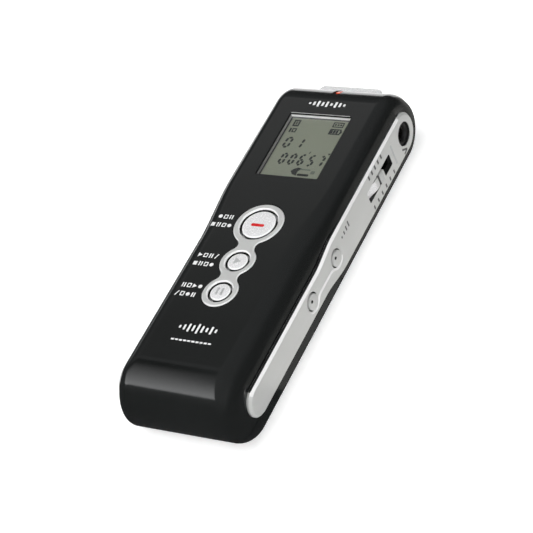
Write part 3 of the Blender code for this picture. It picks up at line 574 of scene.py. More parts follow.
# ---- casing form ----
# points round each stretch of the side profile, and across each side
FINE = {"bottom_front": 24, "waist": 12, "top_front": 18, "top_tip": 6, "top_back": 25,
        "bottom_back": 24, "side": 14}
COARSE = {"bottom_front": 8, "waist": 9, "top_front": 6, "top_tip": 2, "top_back": 9,
          "bottom_back": 8, "side": 3}


def top_front_centre():
    """Centre of the arc that joins the leaning top end to the front face."""
    lean = math.radians(TOP_LEAN)
    normal = (math.cos(lean), math.sin(lean))
    z = THICKNESS - TOP_FRONT_R
    spread = END_BACK_R - TOP_FRONT_R
    run = (z - AXIS_Z - spread * normal[1]) / math.cos(lean)
    y = TOP_Y - END_BACK_R - run * math.sin(lean) + spread * normal[0]
    return y, z


def side_profile(steps):
    """The casing seen from the side: (y, z, outward normal y, outward normal z), bottom tip first.

    Both halves have as many points, so that they pair up across a side face.
    """
    profile = []

    def sweep(centre, radius, start, end, count, skip_first):
        for k in range(1 if skip_first else 0, count + 1):
            angle = math.radians(start + (end - start) * k / count)
            normal = (math.cos(angle), math.sin(angle))
            profile.append((centre[0] + radius * normal[0], centre[1] + radius * normal[1], *normal))

    waist = steps["waist"]
    span = WAIST_START_Y - WAIST_END_Y
    stations = [WAIST_START_Y - span * k / (waist - 1) for k in range(waist)]
    sweep((BOTTOM_Y + BOTTOM_FRONT_R, AXIS_Z), BOTTOM_FRONT_R, 180, 90, steps["bottom_front"], False)
    profile.extend((y, THICKNESS, 0.0, 1.0) for y in reversed(stations))
    sweep(top_front_centre(), TOP_FRONT_R, 90, TOP_LEAN, steps["top_front"], False)
    sweep((TOP_Y - END_BACK_R, AXIS_Z), END_BACK_R, TOP_LEAN, 0, steps["top_tip"], False)
    sweep((TOP_Y - END_BACK_R, AXIS_Z), END_BACK_R, 0, -90, steps["top_back"], True)
    profile.extend((y, 0.0, 0.0, -1.0) for y in stations)
    sweep((BOTTOM_Y + END_BACK_R, AXIS_Z), END_BACK_R, 270, 180, steps["bottom_back"], False)
    profile.pop()
    return profile


def shoulder_at(y):
    share = smooth_step((WAIST_START_Y - y) / (WAIST_START_Y - WAIST_END_Y))
    return [a + (b - a) * share for a, b in zip(UPPER_SHOULDER, LOWER_SHOULDER)]


def casing_point(point, share, inset, side):
    """A point of the casing skin: share runs from 0 at the flat to 1 at the edge of the side face."""
    y, z, normal_y, normal_z = point
    flat, radius, sweep = shoulder_at(y)
    turn = math.radians(sweep) * share
    front_x = flat + (radius - inset) * math.sin(turn)
    front_depth = inset + (radius - inset) * (1.0 - math.cos(turn))
    turn = math.radians(90.0) * share
    back_x = SIDE_X - BACK_EDGE_R + (BACK_EDGE_R - inset) * math.sin(turn)
    back_depth = inset + (BACK_EDGE_R - inset) * (1.0 - math.cos(turn))
    back_share = math.degrees(math.acos(min(max(normal_z, -1.0), 1.0))) / 180.0
    x = front_x + (back_x - front_x) * back_share
    depth = front_depth + (back_depth - front_depth) * back_share
    return side * x, y - depth * normal_y, z - depth * normal_z


def casing_solid(name, inset, detail, material=None):
    """The whole outer form, shrunk by inset: rounded sections lofted across the width."""
    profile = side_profile(detail)
    count = len(profile)
    steps = detail["side"]
    stations = [(-1, 1.0 - k / steps) for k in range(steps + 1)]
    stations += [(1, k / steps) for k in range(steps + 1)]
    bm = bmesh.new()
    rings = []
    for side, share in stations:
        rings.append([bm.verts.new(casing_point(p, share, inset, side)) for p in profile])
    for left, right in zip(rings, rings[1:]):
        for k in range(count):
            nxt = (k + 1) % count
            bm.faces.new((left[k], left[nxt], right[nxt], right[k]))
    for ring in (rings[0], rings[-1]):
        for k in range(count // 2):
            front = (ring[k], ring[k + 1])
            back = (ring[count - k - 1], ring[(count - k) % count])
            bm.faces.new(list(dict.fromkeys(front + back)))
    bmesh.ops.triangulate(bm, faces=bm.faces)
    return add_mesh(name, bm, material)


# ---- outlines ----
def lobed_outline(grow=0.0):
    """Outline of the button bezel: three lobes on the centre line joined by filleted necks."""
    lobes = [(y, lobe_r) for label, y, lobe_r, hole_r in BUTTONS]
    fillet = NECK_FILLET_R
    right = []
    start = 90.0
    for (y0, r0), (y1, r1) in zip(lobes, lobes[1:]):
        reach0 = r0 + fillet
        reach1 = r1 + fillet
        apart = y0 - y1
        along = (reach0 ** 2 - reach1 ** 2 + apart ** 2) / (2.0 * apart)
        out = math.sqrt(reach0 ** 2 - along ** 2)
        leave = -math.degrees(math.atan2(along, out))
        arrive = math.degrees(math.atan2(apart - along, out))
        right += arc((0.0, y0), r0 + grow, start, leave, 30)
        right += arc((out, y0 - along), fillet - grow, leave + 180.0, 180.0 + arrive, 10)
        start = arrive
    right += arc((0.0, lobes[-1][0]), lobes[-1][1] + grow, start, -90.0, 26)
    left = [(-x, y) for x, y in reversed(right)]
    return chain(right, left)


def trim_half_width(y):
    start, end = TRIM_STEP_Y
    share = smooth_step((start - y) / (start - end))
    return TRIM_WIDE + (TRIM_NARROW - TRIM_WIDE) * share


def right_trim_outline(grow=0.0):
    """Outline (y, z) of the right trim: wide beside the display, narrow below the volume buttons."""
    steps = 24
    start, end = TRIM_STEP_Y
    step_y = [start + (end - start) * k / steps for k in range(steps + 1)]
    front = [(y, AXIS_Z + trim_half_width(y) + grow) for y in step_y]
    back = [(y, AXIS_Z - trim_half_width(y) - grow) for y in reversed(step_y)]
    upper = arc((TRIM_TOP_Y, AXIS_Z), TRIM_WIDE + grow, -90, 90, 32)
    lower = arc((TRIM_BOTTOM_Y, AXIS_Z), TRIM_NARROW + grow, 90, 270, 32)
    return chain(upper, front, lower, back)


def left_trim_outline(grow=0.0):
    centre_y = (TRIM_TOP_Y + LEFT_TRIM_BOTTOM_Y) / 2
    half_length = (TRIM_TOP_Y - LEFT_TRIM_BOTTOM_Y) / 2 + LEFT_TRIM_HALF + grow
    return stadium((centre_y, LEFT_TRIM_Z), half_length, LEFT_TRIM_HALF + grow, 32)


def dumbbell_outline(grow=0.0):
    """Outline (y, z) of the recess that links the two volume buttons."""
    middle = sum(VOLUME_YS) / 2
    half_span = (VOLUME_YS[0] - VOLUME_YS[1]) / 2
    fillet_v = DUMBBELL_NECK + DUMBBELL_FILLET_R
    reach = DUMBBELL_R + DUMBBELL_FILLET_R
    along = math.sqrt(reach ** 2 - fillet_v ** 2)
    leave = math.degrees(math.atan2(fillet_v, along))
    lobe = half_span, 0.0
    quarter = arc(lobe, DUMBBELL_R + grow, 0, 180.0 - leave, 14)
    quarter += arc((half_span - along, fillet_v), DUMBBELL_FILLET_R - grow, -leave, -90.0, 8)
    upper = quarter + [(-u, v) for u, v in reversed(quarter)]
    lower = [(u, -v) for u, v in reversed(upper)]
    return [(middle + u, AXIS_Z + v) for u, v in chain(upper, lower)]


def window_outline(shrink=0.0):
    return rounded_box((0.0, WINDOW_Y), WINDOW_WIDTH / 2 - shrink, WINDOW_HEIGHT / 2 - shrink,
                       max(WINDOW_CORNER_R - shrink, 0.1))


def slot_outline(grow=0.0):
    return rounded_box((SLOT_Y, AXIS_Z), SLOT_HALF_LENGTH + grow, SLOT_HALF_WIDTH + grow, 0.4)


# ---- shells ----
def half_space(z_low, z_high, y_low=-FAR, y_high=FAR):
    return box("cut", (-FAR, y_low, z_low), (FAR, y_high, z_high))


def trim_grooves():
    floor_x = TRIM_BACK_X - FIT
    reach = SIDE_X + 3.0
    return [plate("cut", right_trim_outline(FIT), FACE_RIGHT, floor_x, reach),
            plate("cut", left_trim_outline(FIT), FACE_LEFT, floor_x, reach)]


def button_holes():
    return [cylinder("cut", (0.0, y, THICKNESS - 4.0), hole_r, 10.0, "Z", None, 72)
            for label, y, lobe_r, hole_r in BUTTONS]


def side_openings(slack):
    """Openings for the jacks, the slide switch, the volume buttons and the USB port."""
    inside = SIDE_X - 4.0
    length = 8.0
    cutters = [cylinder("cut", (start, JACK_Y, AXIS_Z), JACK_RIM_R + slack, length, "X")
               for start in (inside, -inside - length)]
    cutters += [cylinder("cut", (inside, y, AXIS_Z), VOLUME_R + slack, length, "X")
                for y in VOLUME_YS]
    cutters.append(plate("cut", slot_outline(slack), FACE_RIGHT, inside, inside + length))
    half_y = USB_SIZE[0] / 2 + FIT + slack
    half_z = USB_SIZE[1] / 2 + FIT + slack
    usb = rounded_box((USB_Y, AXIS_Z), half_y, half_z, 0.5)
    cutters.append(plate("cut", usb, FACE_LEFT, inside, inside + length))
    return cutters


def hollow_casing(name):
    shell = casing_solid(name, 0.0, FINE, GLOSS_BLACK)
    return combine(shell, [casing_solid("cavity", WALL, COARSE)])


def make_front_shell():
    """The front half with its screw bosses, window, button holes, head recess and light notch."""
    shell = hollow_casing("front_shell_skin")
    low = SHELL_SPLIT_Z - 1.0
    combine(shell, [cylinder("boss", (x, y, low), BOSS_R, BOSS_TOP_Z - low, "Z", None, 32)
                    for x, y in BOSS_XY], "UNION")
    cutters = [half_space(-FAR, SHELL_SPLIT_Z + SEAM / 2)]
    cutters.append(plate("cut", window_outline(), FACE_UP, 15.0, FAR))
    cutters.append(plate("cut", lobed_outline(0.15), FACE_UP, BEZEL_Z[0] - 0.2, THICKNESS + 5.0))
    cutters += button_holes() + trim_grooves() + side_openings(FIT)
    cutters += [cylinder("cut", (x, y, 0.0), SCREW_HOLE_R, 12.0, "Z") for x, y in BOSS_XY]
    cutters.append(box("cut", (-HEAD_HALF_WIDTH - FIT, HEAD_Y[0] - FIT - 0.5, HEAD_Z[0] - FIT),
                       (HEAD_HALF_WIDTH + FIT, FAR, HEAD_Z[1] + FIT)))
    cutters += [cylinder("cut", (side * MIC_X, 44.0, AXIS_Z), MIC_HOLE_R + 1.1, 10.0, "Y")
                for side in (-1, 1)]
    light_notch = rounded_box((0.0, 50.0), 1.1, 5.5, 0.3)
    cutters.append(plate("cut", light_notch, FACE_UP, 13.2, FAR))
    combine(shell, cutters)
    piece(soften(shell, 0.1), "casing", "gloss_black", "front_shell")


def make_back_shell():
    """The back half above the door, with screw posts, speaker slots and a rib at the door's edge."""
    shell = hollow_casing("back_shell_skin")
    combine(shell, [cylinder("post", (x, y, 0.6), BOSS_R + 0.3, SHELL_SPLIT_Z - 0.6, "Z", None, 32)
                    for x, y in BOSS_XY], "UNION")
    cutters = [half_space(SHELL_SPLIT_Z - SEAM / 2, FAR)]
    cutters.append(half_space(-FAR, FAR, -FAR, DOOR_TOP_Y + 0.3))
    cutters += trim_grooves()
    for x, y in BOSS_XY:
        cutters.append(cylinder("cut", (x, y, -1.0), SCREW_HOLE_R, 8.0, "Z"))
        cutters.append(cylinder("cut", (x, y, -1.0), SCREW_HEAD_R + 0.3, 2.6, "Z"))
    for k in range(-2, 3):
        slot = stadium((0.0, SPEAKER_Y + 2.2 * k), 4.8 - 0.75 * abs(k), 0.5)
        cutters.append(plate("cut", slot, FACE_UP, -1.0, 3.0))
    combine(shell, cutters)
    piece(soften(shell, 0.1), "casing", "gloss_black", "back_shell")
    # a recessed rib that fills the gap between this shell and the door
    rib = casing_solid("door_stop_rib", 0.25, COARSE, SATIN_BLACK_AND_SHADE)
    cutters = [casing_solid("cavity", WALL, COARSE), half_space(SHELL_SPLIT_Z - SEAM, FAR),
               half_space(-FAR, FAR, -FAR, DOOR_TOP_Y + 0.05), half_space(-FAR, FAR, 0.3, FAR)]
    piece(combine(rib, cutters + trim_grooves()), "casing", "gloss_black")


def make_battery_door():
    """The lower back, with grip grooves and an arrow for its slide."""
    door = hollow_casing("battery_door_skin")
    cutters = [half_space(SHELL_SPLIT_Z - SEAM / 2, FAR), half_space(-FAR, FAR, DOOR_TOP_Y, FAR)]
    cutters += trim_grooves()
    for k in range(6):
        groove = stadium((0.0, -4.2 - 1.1 * k), 5.6 - 0.35 * k, 0.28, 6)
        cutters.append(plate("cut", groove, FACE_UP, -1.0, 0.3))
    arrow = [(-1.9, -12.0), (0.0, -14.2), (1.9, -12.0)]
    cutters.append(plate("cut", arrow, FACE_UP, -1.0, 0.2))
    combine(door, cutters)
    piece(soften(door, 0.1), "door", "gloss_black", "battery_door")


# ---- silver pieces ----
def in_trim_opening(centre, normal):
    """Whether a face of the right trim is a wall of an opening, or the wall above the bevel."""
    if abs(normal.x) > 0.5 or centre.x > TRIM_FACE_X - 0.15:
        return False
    in_slot = (abs(centre.y - SLOT_Y) < SLOT_HALF_LENGTH + 0.1
               and abs(centre.z - AXIS_Z) < SLOT_HALF_WIDTH + 0.1)
    rounds = [(JACK_Y, JACK_RIM_R)] + [(y, VOLUME_R) for y in VOLUME_YS]
    in_bore = any(math.dist(centre.yz, (y, AXIS_Z)) < radius + 0.1 for y, radius in rounds)
    return in_slot or in_bore or normal.z > 0.95


def on_trim_chamfer(centre, normal):
    """Whether a face of the right trim is a chamfer that faces the front."""
    if centre.x < TRIM_FACE_X - TRIM_BEVEL - 0.1 or not 0.3 < normal.z < 0.95:
        return False
    on_rim = centre.z > AXIS_Z + TRIM_NARROW - TRIM_BEVEL - 0.2
    on_dumbbell = VOLUME_YS[1] - 3.2 < centre.y < VOLUME_YS[0] + 3.2
    return (on_rim and abs(centre.y - JACK_Y) > 4.5) or on_dumbbell


def on_groove_wall(centre, normal):
    """Whether a face of the right trim is the side of its groove that the front view shows."""
    return abs(centre.y - GROOVE_Y) < 0.35 and normal.y < -0.3


def make_right_trim():
    """The bevelled trim with its openings, the recess of the volume buttons and a groove."""
    rings = bevel_rings(right_trim_outline, TRIM_BACK_X, TRIM_FACE_X, TRIM_BEVEL)
    trim = loft("right_trim_detailed", rings, FACE_RIGHT, SILVER)
    cutters = side_openings(0.0)
    floor_x = TRIM_FACE_X - DUMBBELL_DEPTH
    cutters.append(loft("cut", [(dumbbell_outline(-0.3), floor_x),
                                (dumbbell_outline(0.1), TRIM_FACE_X + 0.03)], FACE_RIGHT))
    groove = [(GROOVE_Y - 0.4, TRIM_FACE_X + 0.05), (GROOVE_Y, TRIM_FACE_X - 0.35),
              (GROOVE_Y + 0.4, TRIM_FACE_X + 0.05)]
    cutters.append(plate("cut", groove, FACE_PLAN, *GROOVE_Z))
    cutters.append(funnel((JACK_Y, AXIS_Z), (JACK_RIM_R - 0.1, JACK_RIM_R + 0.2),
                          (TRIM_FACE_X - 0.2, TRIM_FACE_X + 0.1), FACE_RIGHT))
    combine(trim, cutters)
    soften(trim, 0.06)
    # the walls of the openings and the wall above the bevel are painted black as shade
    paint_faces(trim, SATIN_BLACK_AND_SHADE, in_trim_opening)
    # the chamfers that face the front are painted near-white as a highlight
    paint_faces(trim, PAINTED_HIGHLIGHT, on_trim_chamfer)
    # one wall of the groove is painted darker grey as shade
    paint_faces(trim, PRINT_AND_SHADE_PALE, on_groove_wall)
    piece(trim, "casing", "satin_silver", "right_side_trim")


def make_left_trim():
    """The bevelled trim with the mouths of the line-in socket and the USB port."""
    rings = bevel_rings(left_trim_outline, TRIM_BACK_X, LEFT_TRIM_FACE_X, TRIM_BEVEL)
    trim = loft("left_trim_detailed", rings, FACE_LEFT, SILVER)
    half_y = USB_SIZE[0] / 2 + FIT
    half_z = USB_SIZE[1] / 2 + FIT
    cutters = [cylinder("cut", (-20.0, JACK_Y, AXIS_Z), JACK_RIM_R, 8.0, "X"),
               plate("cut", rounded_box((USB_Y, AXIS_Z), half_y, half_z, 0.5), FACE_LEFT, 12.0, 20.0)]
    cutters.append(funnel((JACK_Y, AXIS_Z), (JACK_RIM_R - 0.1, JACK_RIM_R + 0.45),
                          (LEFT_TRIM_FACE_X - 0.4, LEFT_TRIM_FACE_X + 0.15), FACE_LEFT))
    port = [(rounded_box((USB_Y, AXIS_Z), half_y - 0.1, half_z - 0.1, 0.5), LEFT_TRIM_FACE_X - 0.3),
            (rounded_box((USB_Y, AXIS_Z), half_y + 0.4, half_z + 0.4, 0.7), LEFT_TRIM_FACE_X + 0.2)]
    cutters.append(loft("cut", port, FACE_LEFT))
    combine(trim, cutters)
    piece(soften(trim, 0.06), "casing", "satin_silver", "left_side_trim")


def make_button_bezel():
    """Three joined rings, each with a funnel round its button that is painted as a highlight."""
    rings = bevel_rings(lobed_outline, BEZEL_Z[0], BEZEL_Z[1], 0.3)
    bezel = loft("button_bezel_detailed", rings, FACE_UP, SILVER)
    cutters = button_holes()
    for label, y, lobe_r, hole_r in BUTTONS:
        cutters.append(funnel((0.0, y), (hole_r - 0.05, hole_r + 0.35),
                              (BEZEL_Z[1] - 0.4, BEZEL_Z[1] + 0.05), FACE_UP, 72))
    combine(bezel, cutters)
    soften(bezel, 0.05)
    # painted highlight on the funnels and bevels, painted black shade on the walls of the holes
    paint_rim_highlight_and_shade(bezel, 0.95)
    piece(bezel, "casing", "satin_silver", "button_bezel")


def cap_profile(radius, collar_r, collar_top, rim, crown, disc_share):
    """Half section of a cap: a collar, a straight wall, a rounded chamfer and a nearly flat top."""
    profile = [(0.0, 0.0), (collar_r, 0.0), (collar_r, collar_top), (radius, collar_top)]
    profile.append((radius, rim - 0.12))
    disc = radius * disc_share
    shoulder_top = rim + 0.72 * crown
    for k in range(7):
        turn = math.radians(90.0 * k / 6)
        profile.append((radius - (radius - disc) * (1.0 - math.cos(turn)),
                        rim + (shoulder_top - rim) * math.sin(turn)))
    for k in range(1, 9):
        share = k / 8
        profile.append((disc * (1.0 - share),
                        shoulder_top + (rim + crown - shoulder_top) * (1.0 - (1.0 - share) ** 2)))
    return profile


def make_front_buttons():
    """Three domed caps, of which the record button has a wider flat, and their raised marks."""
    rim = BUTTON_RIM_Z - BUTTON_FOOT_Z
    for label, y, lobe_r, hole_r in BUTTONS:
        disc_share = 0.84 if label == "rec" else 0.55
        profile = cap_profile(hole_r - CAP_GAP, hole_r + 0.5, 0.8, rim,
                              BUTTON_CROWN - 0.04, disc_share)
        cap = turned(label + "_cap", (0.0, y, BUTTON_FOOT_Z), profile, "Z", CAP_SILVER_AND_HIGHLIGHT, 96)
        # painted highlight on each cap's rounded chamfer, painted black shade on its side wall
        paint_rim_highlight_and_shade(cap, 0.97)
        piece(cap, label + "_key", "bright_silver", label + "_button")
    top = BUTTON_RIM_Z + BUTTON_CROWN
    middle = (-0.05, -0.4)
    dash = loft("rec_dash", [(stadium(middle, 1.75, 0.44), top - 0.3),
                             (stadium(middle, 1.75, 0.44), top - 0.04),
                             (stadium(middle, 1.66, 0.35), top)], FACE_UP, RED)
    piece(dash, "rec_key", "bright_silver")
    play_y = BUTTONS[1][1]
    triangle = [(-0.75, play_y + 0.95), (-0.75, play_y - 0.95), (1.0, play_y)]
    pair = [rounded_box((x, BUTTONS[2][1]), 0.28, 1.0, 0.1) for x in (-0.62, 0.62)]
    for label, outlines in (("play", [triangle]), ("pause", pair)):
        raised = marks(label + "_mark", outlines, FACE_UP, top - 0.3, top, PRINT_AND_SHADE_PALE)
        piece(soften(raised, 0.05), label + "_key", "bright_silver")


def make_volume_buttons():
    """Two domed caps in the right trim, each with a dark dimple."""
    rim = TRIM_FACE_X - VOLUME_FOOT_X
    profile = cap_profile(VOLUME_R - 0.3, VOLUME_R + 0.6, 0.3, rim, 0.45, 0.5)
    for label, y in zip(("volume_up", "volume_down"), VOLUME_YS):
        cap = turned(label + "_cap", (VOLUME_FOOT_X, y, AXIS_Z), profile, "X", SILVER, 72)
        dot = (y + VOLUME_DOT[0], AXIS_Z + VOLUME_DOT[1])
        combine(cap, [cylinder("cut", (TRIM_FACE_X + 0.1, *dot), VOLUME_DOT_R, 2.0, "X", None, 24)])
        paint_faces(cap, SATIN_BLACK_AND_SHADE, lambda centre, normal: math.dist(centre.yz, dot) < 0.38)
        piece(cap, label + "_key", "bright_silver", label + "_button")


def on_knob_groove(centre, normal):
    depth = TRIM_FACE_X - centre.x
    return abs(centre.y - KNOB_GROOVE_Y) < 0.45 and 0.05 < depth < 0.6 and normal.x > 0.1


def on_knob_slope(centre, normal):
    return centre.y < KNOB_LOW_Y + KNOB_SLOPE - 0.1 and normal.x > 0.3


def on_knob_rib(centre, normal):
    return KNOB_RIBS_Y - 0.05 < centre.y < KNOB_HIGH_Y - 0.45 and normal.y < -0.5


def make_slide_knob():
    """A switch knob whose raised blade is at its upper end and which slopes into the slot below."""
    low = KNOB_LOW_Y
    high = KNOB_HIGH_Y
    face = TRIM_FACE_X
    groove = KNOB_GROOVE_Y
    foot_x = 14.6
    top = face + 0.5
    outline = [(low, foot_x), (low, face - 1.5), (low + 0.25, face - 1.25), (low + KNOB_SLOPE, face),
               (groove - 0.35, face + 0.1), (groove - 0.1, face - 0.45), (groove + 0.15, face - 0.45),
               (groove + 0.4, face + 0.15)]
    for k in range(4):
        y = KNOB_RIBS_Y + 0.36 * k
        lift = face + 0.12 + 0.07 * k
        outline += [(y, lift), (y + 0.1, lift + 0.12), (y + 0.2, lift + 0.12), (y + 0.3, lift)]
    outline += [(high - 0.38, top - 0.1), (high - 0.3, top), (high - 0.08, top),
                (high, top - 0.12), (high, foot_x)]
    half = SLOT_HALF_WIDTH - KNOB_GAP
    knob = plate("slide_switch_detailed", outline, FACE_PLAN, AXIS_Z - half, AXIS_Z + half - 0.15,
                 SILVER)
    soften(knob, 0.05)
    # the knob's groove is painted dark grey as shade
    paint_faces(knob, PRINT_AND_SHADE_GREY, on_knob_groove)
    # the knob's sloping end is painted lighter as a highlight
    paint_faces(knob, CAP_SILVER_AND_HIGHLIGHT, on_knob_slope)
    # the ribs' faces towards the lower end are painted darker grey as shade
    paint_faces(knob, PRINT_AND_SHADE_PALE, on_knob_rib)
    piece(knob, "slide_knob", "bright_silver", "slide_switch_knob")


# ---- microphone head ----
def make_microphone_head():
    """A softly rounded block with two deep openings, each behind a round mesh."""
    low_y, high_y = HEAD_Y
    half = HEAD_HALF_WIDTH
    cut_x, cut_y = HEAD_CORNER
    outline = [(-half, low_y), (half, low_y), (half, high_y - cut_y), (half - cut_x, high_y),
               (-half + cut_x, high_y), (-half, high_y - cut_y)]
    head = plate("microphone_head_detailed", outline, FACE_UP, HEAD_Z[0], HEAD_Z[1], CAP_SILVER_AND_HIGHLIGHT)
    soften(head, HEAD_BEVEL, 4, 30.0)
    settle(head)
    cutters = []
    for x in (-MIC_X, MIC_X):
        cutters.append(cylinder("cut", (x, low_y - 1.0, AXIS_Z), MIC_HOLE_R, 8.0, "Y"))
        cutters.append(cylinder("cut", (x, high_y - 0.9, AXIS_Z), MIC_HOLE_R + 0.6, 4.0, "Y"))
    combine(head, cutters)
    piece(soften(head, 0.08), "casing", "satin_silver", "microphone_head")
    for x, label in ((-MIC_X, "left"), (MIC_X, "right")):
        make_mesh_screen("microphone_screen_" + label, x, high_y - 0.7, "microphone_mesh_" + label)


def make_mesh_screen(name, x, y, node):
    """A woven screen: two crossed layers of wires inside a thin ring."""
    radius = MIC_HOLE_R + 0.4
    wires = 11
    wire_r = 0.07
    level_y = y + 0.28
    upright_y = y + 0.16
    bm = bmesh.new()
    for k in range(1, wires):
        offset = -radius + 2.0 * radius * k / wires
        half = math.sqrt(radius ** 2 - offset ** 2) + 0.02
        level = Vector((half, wire_r, wire_r))
        upright = Vector((wire_r, wire_r, half))
        for centre, reach in ((Vector((x, level_y, AXIS_Z + offset)), level),
                              (Vector((x + offset, upright_y, AXIS_Z)), upright)):
            add_block(bm, centre - reach, centre + reach)
    piece(add_mesh(name, bm, STEEL), "casing", "steel", node)
    ring = tube(name + "_ring", (x, y, AXIS_Z), radius, 0.25, (0.02, 0.4), "Y", BRIGHT)
    piece(ring, "casing", "steel")


# ---- display ----
def make_display_window():
    """The frame with a top painted black as shade and an upper wall painted as a highlight, the lens,
    a printed mask and a silver strip above the window painted as a highlight on its edge.
    """
    low = LENS_TOP_Z - LENS_THICK
    high = THICKNESS - 0.2
    bezel = plate("display_frame", window_outline(0.15), FACE_UP, low, high, BRIGHT)
    combine(bezel, [plate("cut", window_outline(0.35), FACE_UP, low - 0.5, high + 0.5)])
    # the frame's top faces are painted black as shade
    paint_faces(bezel, SATIN_BLACK_AND_SHADE, lambda centre, normal: normal.z > 0.5)
    # the frame's upper wall is painted near-white as a highlight
    paint_faces(bezel, PAINTED_HIGHLIGHT, lambda centre, normal: normal.y < -0.5)
    piece(bezel, "casing", "bright_silver", "display_bezel")
    edge = 0.45
    lens_rings = [(window_outline(edge), low + 0.04), (window_outline(edge), LENS_TOP_Z - 0.08),
                  (window_outline(edge + 0.08), LENS_TOP_Z)]
    piece(loft("display_lens_clear", lens_rings, FACE_UP, CLEAR), "casing", "clear_acrylic",
          "display_lens")
    masks = frame_bars((0.0, WINDOW_Y), WINDOW_WIDTH / 2 - 0.4, WINDOW_HEIGHT / 2 - 0.4, 0.3)
    piece(marks("display_mask", masks, FACE_UP, low - 0.02, low + 0.02, SATIN_BLACK_AND_SHADE), "casing",
          "satin_black")
    upper_edge = WINDOW_Y + WINDOW_HEIGHT / 2
    # a thin silver strip along the window's upper edge: a painted highlight line on the shell's edge
    highlight_strip = rounded_box((-0.3, upper_edge + 0.1), WINDOW_WIDTH / 2 - 0.4, 0.08, 0.03)
    piece(plate("display_highlight_strip", highlight_strip, FACE_UP, THICKNESS - 0.2, THICKNESS + 0.02, SILVER), "casing",
          "bright_silver")


def make_display_ink():
    """Numerals, ticks, a pointing shape and icons, some of them faint as if switched off."""
    ink_low = LCD_Z - 0.01
    ink_high = LCD_Z + 0.02
    shown = []
    for y, width, height, numerals in DISPLAY_ROWS:
        for value, x in numerals:
            shown += digit(value, x, y, width, height)
    shown += [bar((1.85, 24.3), (2.05, 24.95), 0.22), bar((7.05, 24.35), (7.1, 24.9), 0.22),
              bar((7.35, 24.35), (7.4, 24.9), 0.22)]
    shown.append([(-0.45, 18.3), (0.35, 17.3), (1.6, 16.95), (1.45, 17.9), (1.55, 18.5),
                  (2.3, 19.3), (1.1, 19.55), (0.2, 19.1)])
    shown.append(stadium((3.3, 17.3), 1.6, 0.36, 4))
    shown += display_icons()
    piece(marks("lcd_segments", shown, FACE_UP, ink_low, ink_high, LCD_INK), "casing", "satin_black")
    faint = [stadium((3.2, 19.05), 1.5, 0.2, 4), rounded_box((5.6, 18.3), 0.55, 0.5, 0.2)]
    piece(marks("lcd_faint_segments", faint, FACE_UP, ink_low, ink_high, LCD_FAINT), "casing",
          "satin_black")


def digit(value, x, y, width, height):
    """Seven-segment numeral centred on (x, y), as a list of six-sided strokes."""
    corner = Vector(((width - DIGIT_STROKE) / 2, (height - DIGIT_STROKE) / 2))
    strokes = []
    for key in SEGMENTS[value]:
        start, end = (corner * Vector(place) for place in SEGMENT_ENDS[key])
        along = (end - start).normalized()
        across = Vector((-along.y, along.x)) * (DIGIT_STROKE / 2)
        tip = along * (DIGIT_STROKE / 2)
        start += along * 0.1
        end -= along * 0.1
        outline = [start, start + tip + across, end - tip + across, end, end - tip - across,
                   start + tip - across]
        strokes.append([(x + p.x + DIGIT_LEAN * p.y, y + p.y) for p in outline])
    return strokes


def display_icons():
    """Small generic symbols in the upper corners of the display."""
    icons = frame_bars((-6.2, 34.0), 0.9, 1.1, 0.46)
    icons.append(rounded_box((-6.2, 34.0), 0.2, 0.5, 0.05))
    icons.append(rounded_box((-6.9, 31.55), 0.26, 0.7, 0.08))
    icons += frame_bars((-5.8, 31.55), 0.6, 0.7, 0.32)
    icons += frame_bars((5.35, 34.35), 1.5, 0.85, 0.3)
    icons += [circle((5.35 + dx, 34.35), 0.3, 10) for dx in (-0.75, 0.0, 0.75)]
    icons += frame_bars((5.4, 32.0), 1.6, 0.95, 0.34)
    icons += [rounded_box((5.4 + dx, 32.0), 0.3, 0.55, 0.06) for dx in (-0.95, -0.2, 0.55)]
    icons.append(rounded_box((7.15, 32.0), 0.14, 0.4, 0.05))
    return icons


def make_record_light():
    """A light pipe that follows the top edge of the front shell in its dark notch."""
    centre = top_front_centre()
    start, end = LIGHT_PIPE_ARC
    outer = arc(centre, TOP_FRONT_R - 0.15, start, end, 16)
    inner = arc(centre, TOP_FRONT_R - 1.4, end, start, 16)
    pipe = plate("record_light_detailed", outer + inner, FACE_RIGHT, -0.55, 0.55, ORANGE)
    piece(soften(pipe, 0.12, 3), "casing", "light_orange", "record_light_pipe")


# ---- sockets ----
def make_jack(label, side):
    """A moulded socket whose neck has a funnel mouth, with a metal sleeve in its bore."""
    body_low, body_high = sorted((side * 3.2, side * 13.9))
    neck_low, neck_high = sorted((side * 13.5, side * SIDE_X))
    sleeve_low, sleeve_high = sorted((side * 12.4, side * 15.5))
    jack = box(label + "_detailed", (body_low, JACK_Y - 3.0, AXIS_Z - 2.8),
               (body_high, JACK_Y + 3.0, AXIS_Z + 2.8), SATIN_BLACK_AND_SHADE, 0.25)
    combine(jack, [cylinder("neck", (neck_low, JACK_Y, AXIS_Z), JACK_RIM_R - 0.25,
                            neck_high - neck_low, "X")], "UNION")
    place = FACE_RIGHT if side > 0 else FACE_LEFT
    combine(jack, [funnel((JACK_Y, AXIS_Z), (JACK_BORE_R, JACK_BORE_R, JACK_BORE_R + 0.55),
                          (4.5, 15.6, 16.6), place)])
    piece(soften(jack, 0.06), "casing", "satin_black", label)
    sleeve = tube(label + "_sleeve", (sleeve_low, JACK_Y, AXIS_Z), JACK_BORE_R, 0.18,
                  (0.0, sleeve_high - sleeve_low), "X", STEEL)
    piece(sleeve, "casing", "steel")


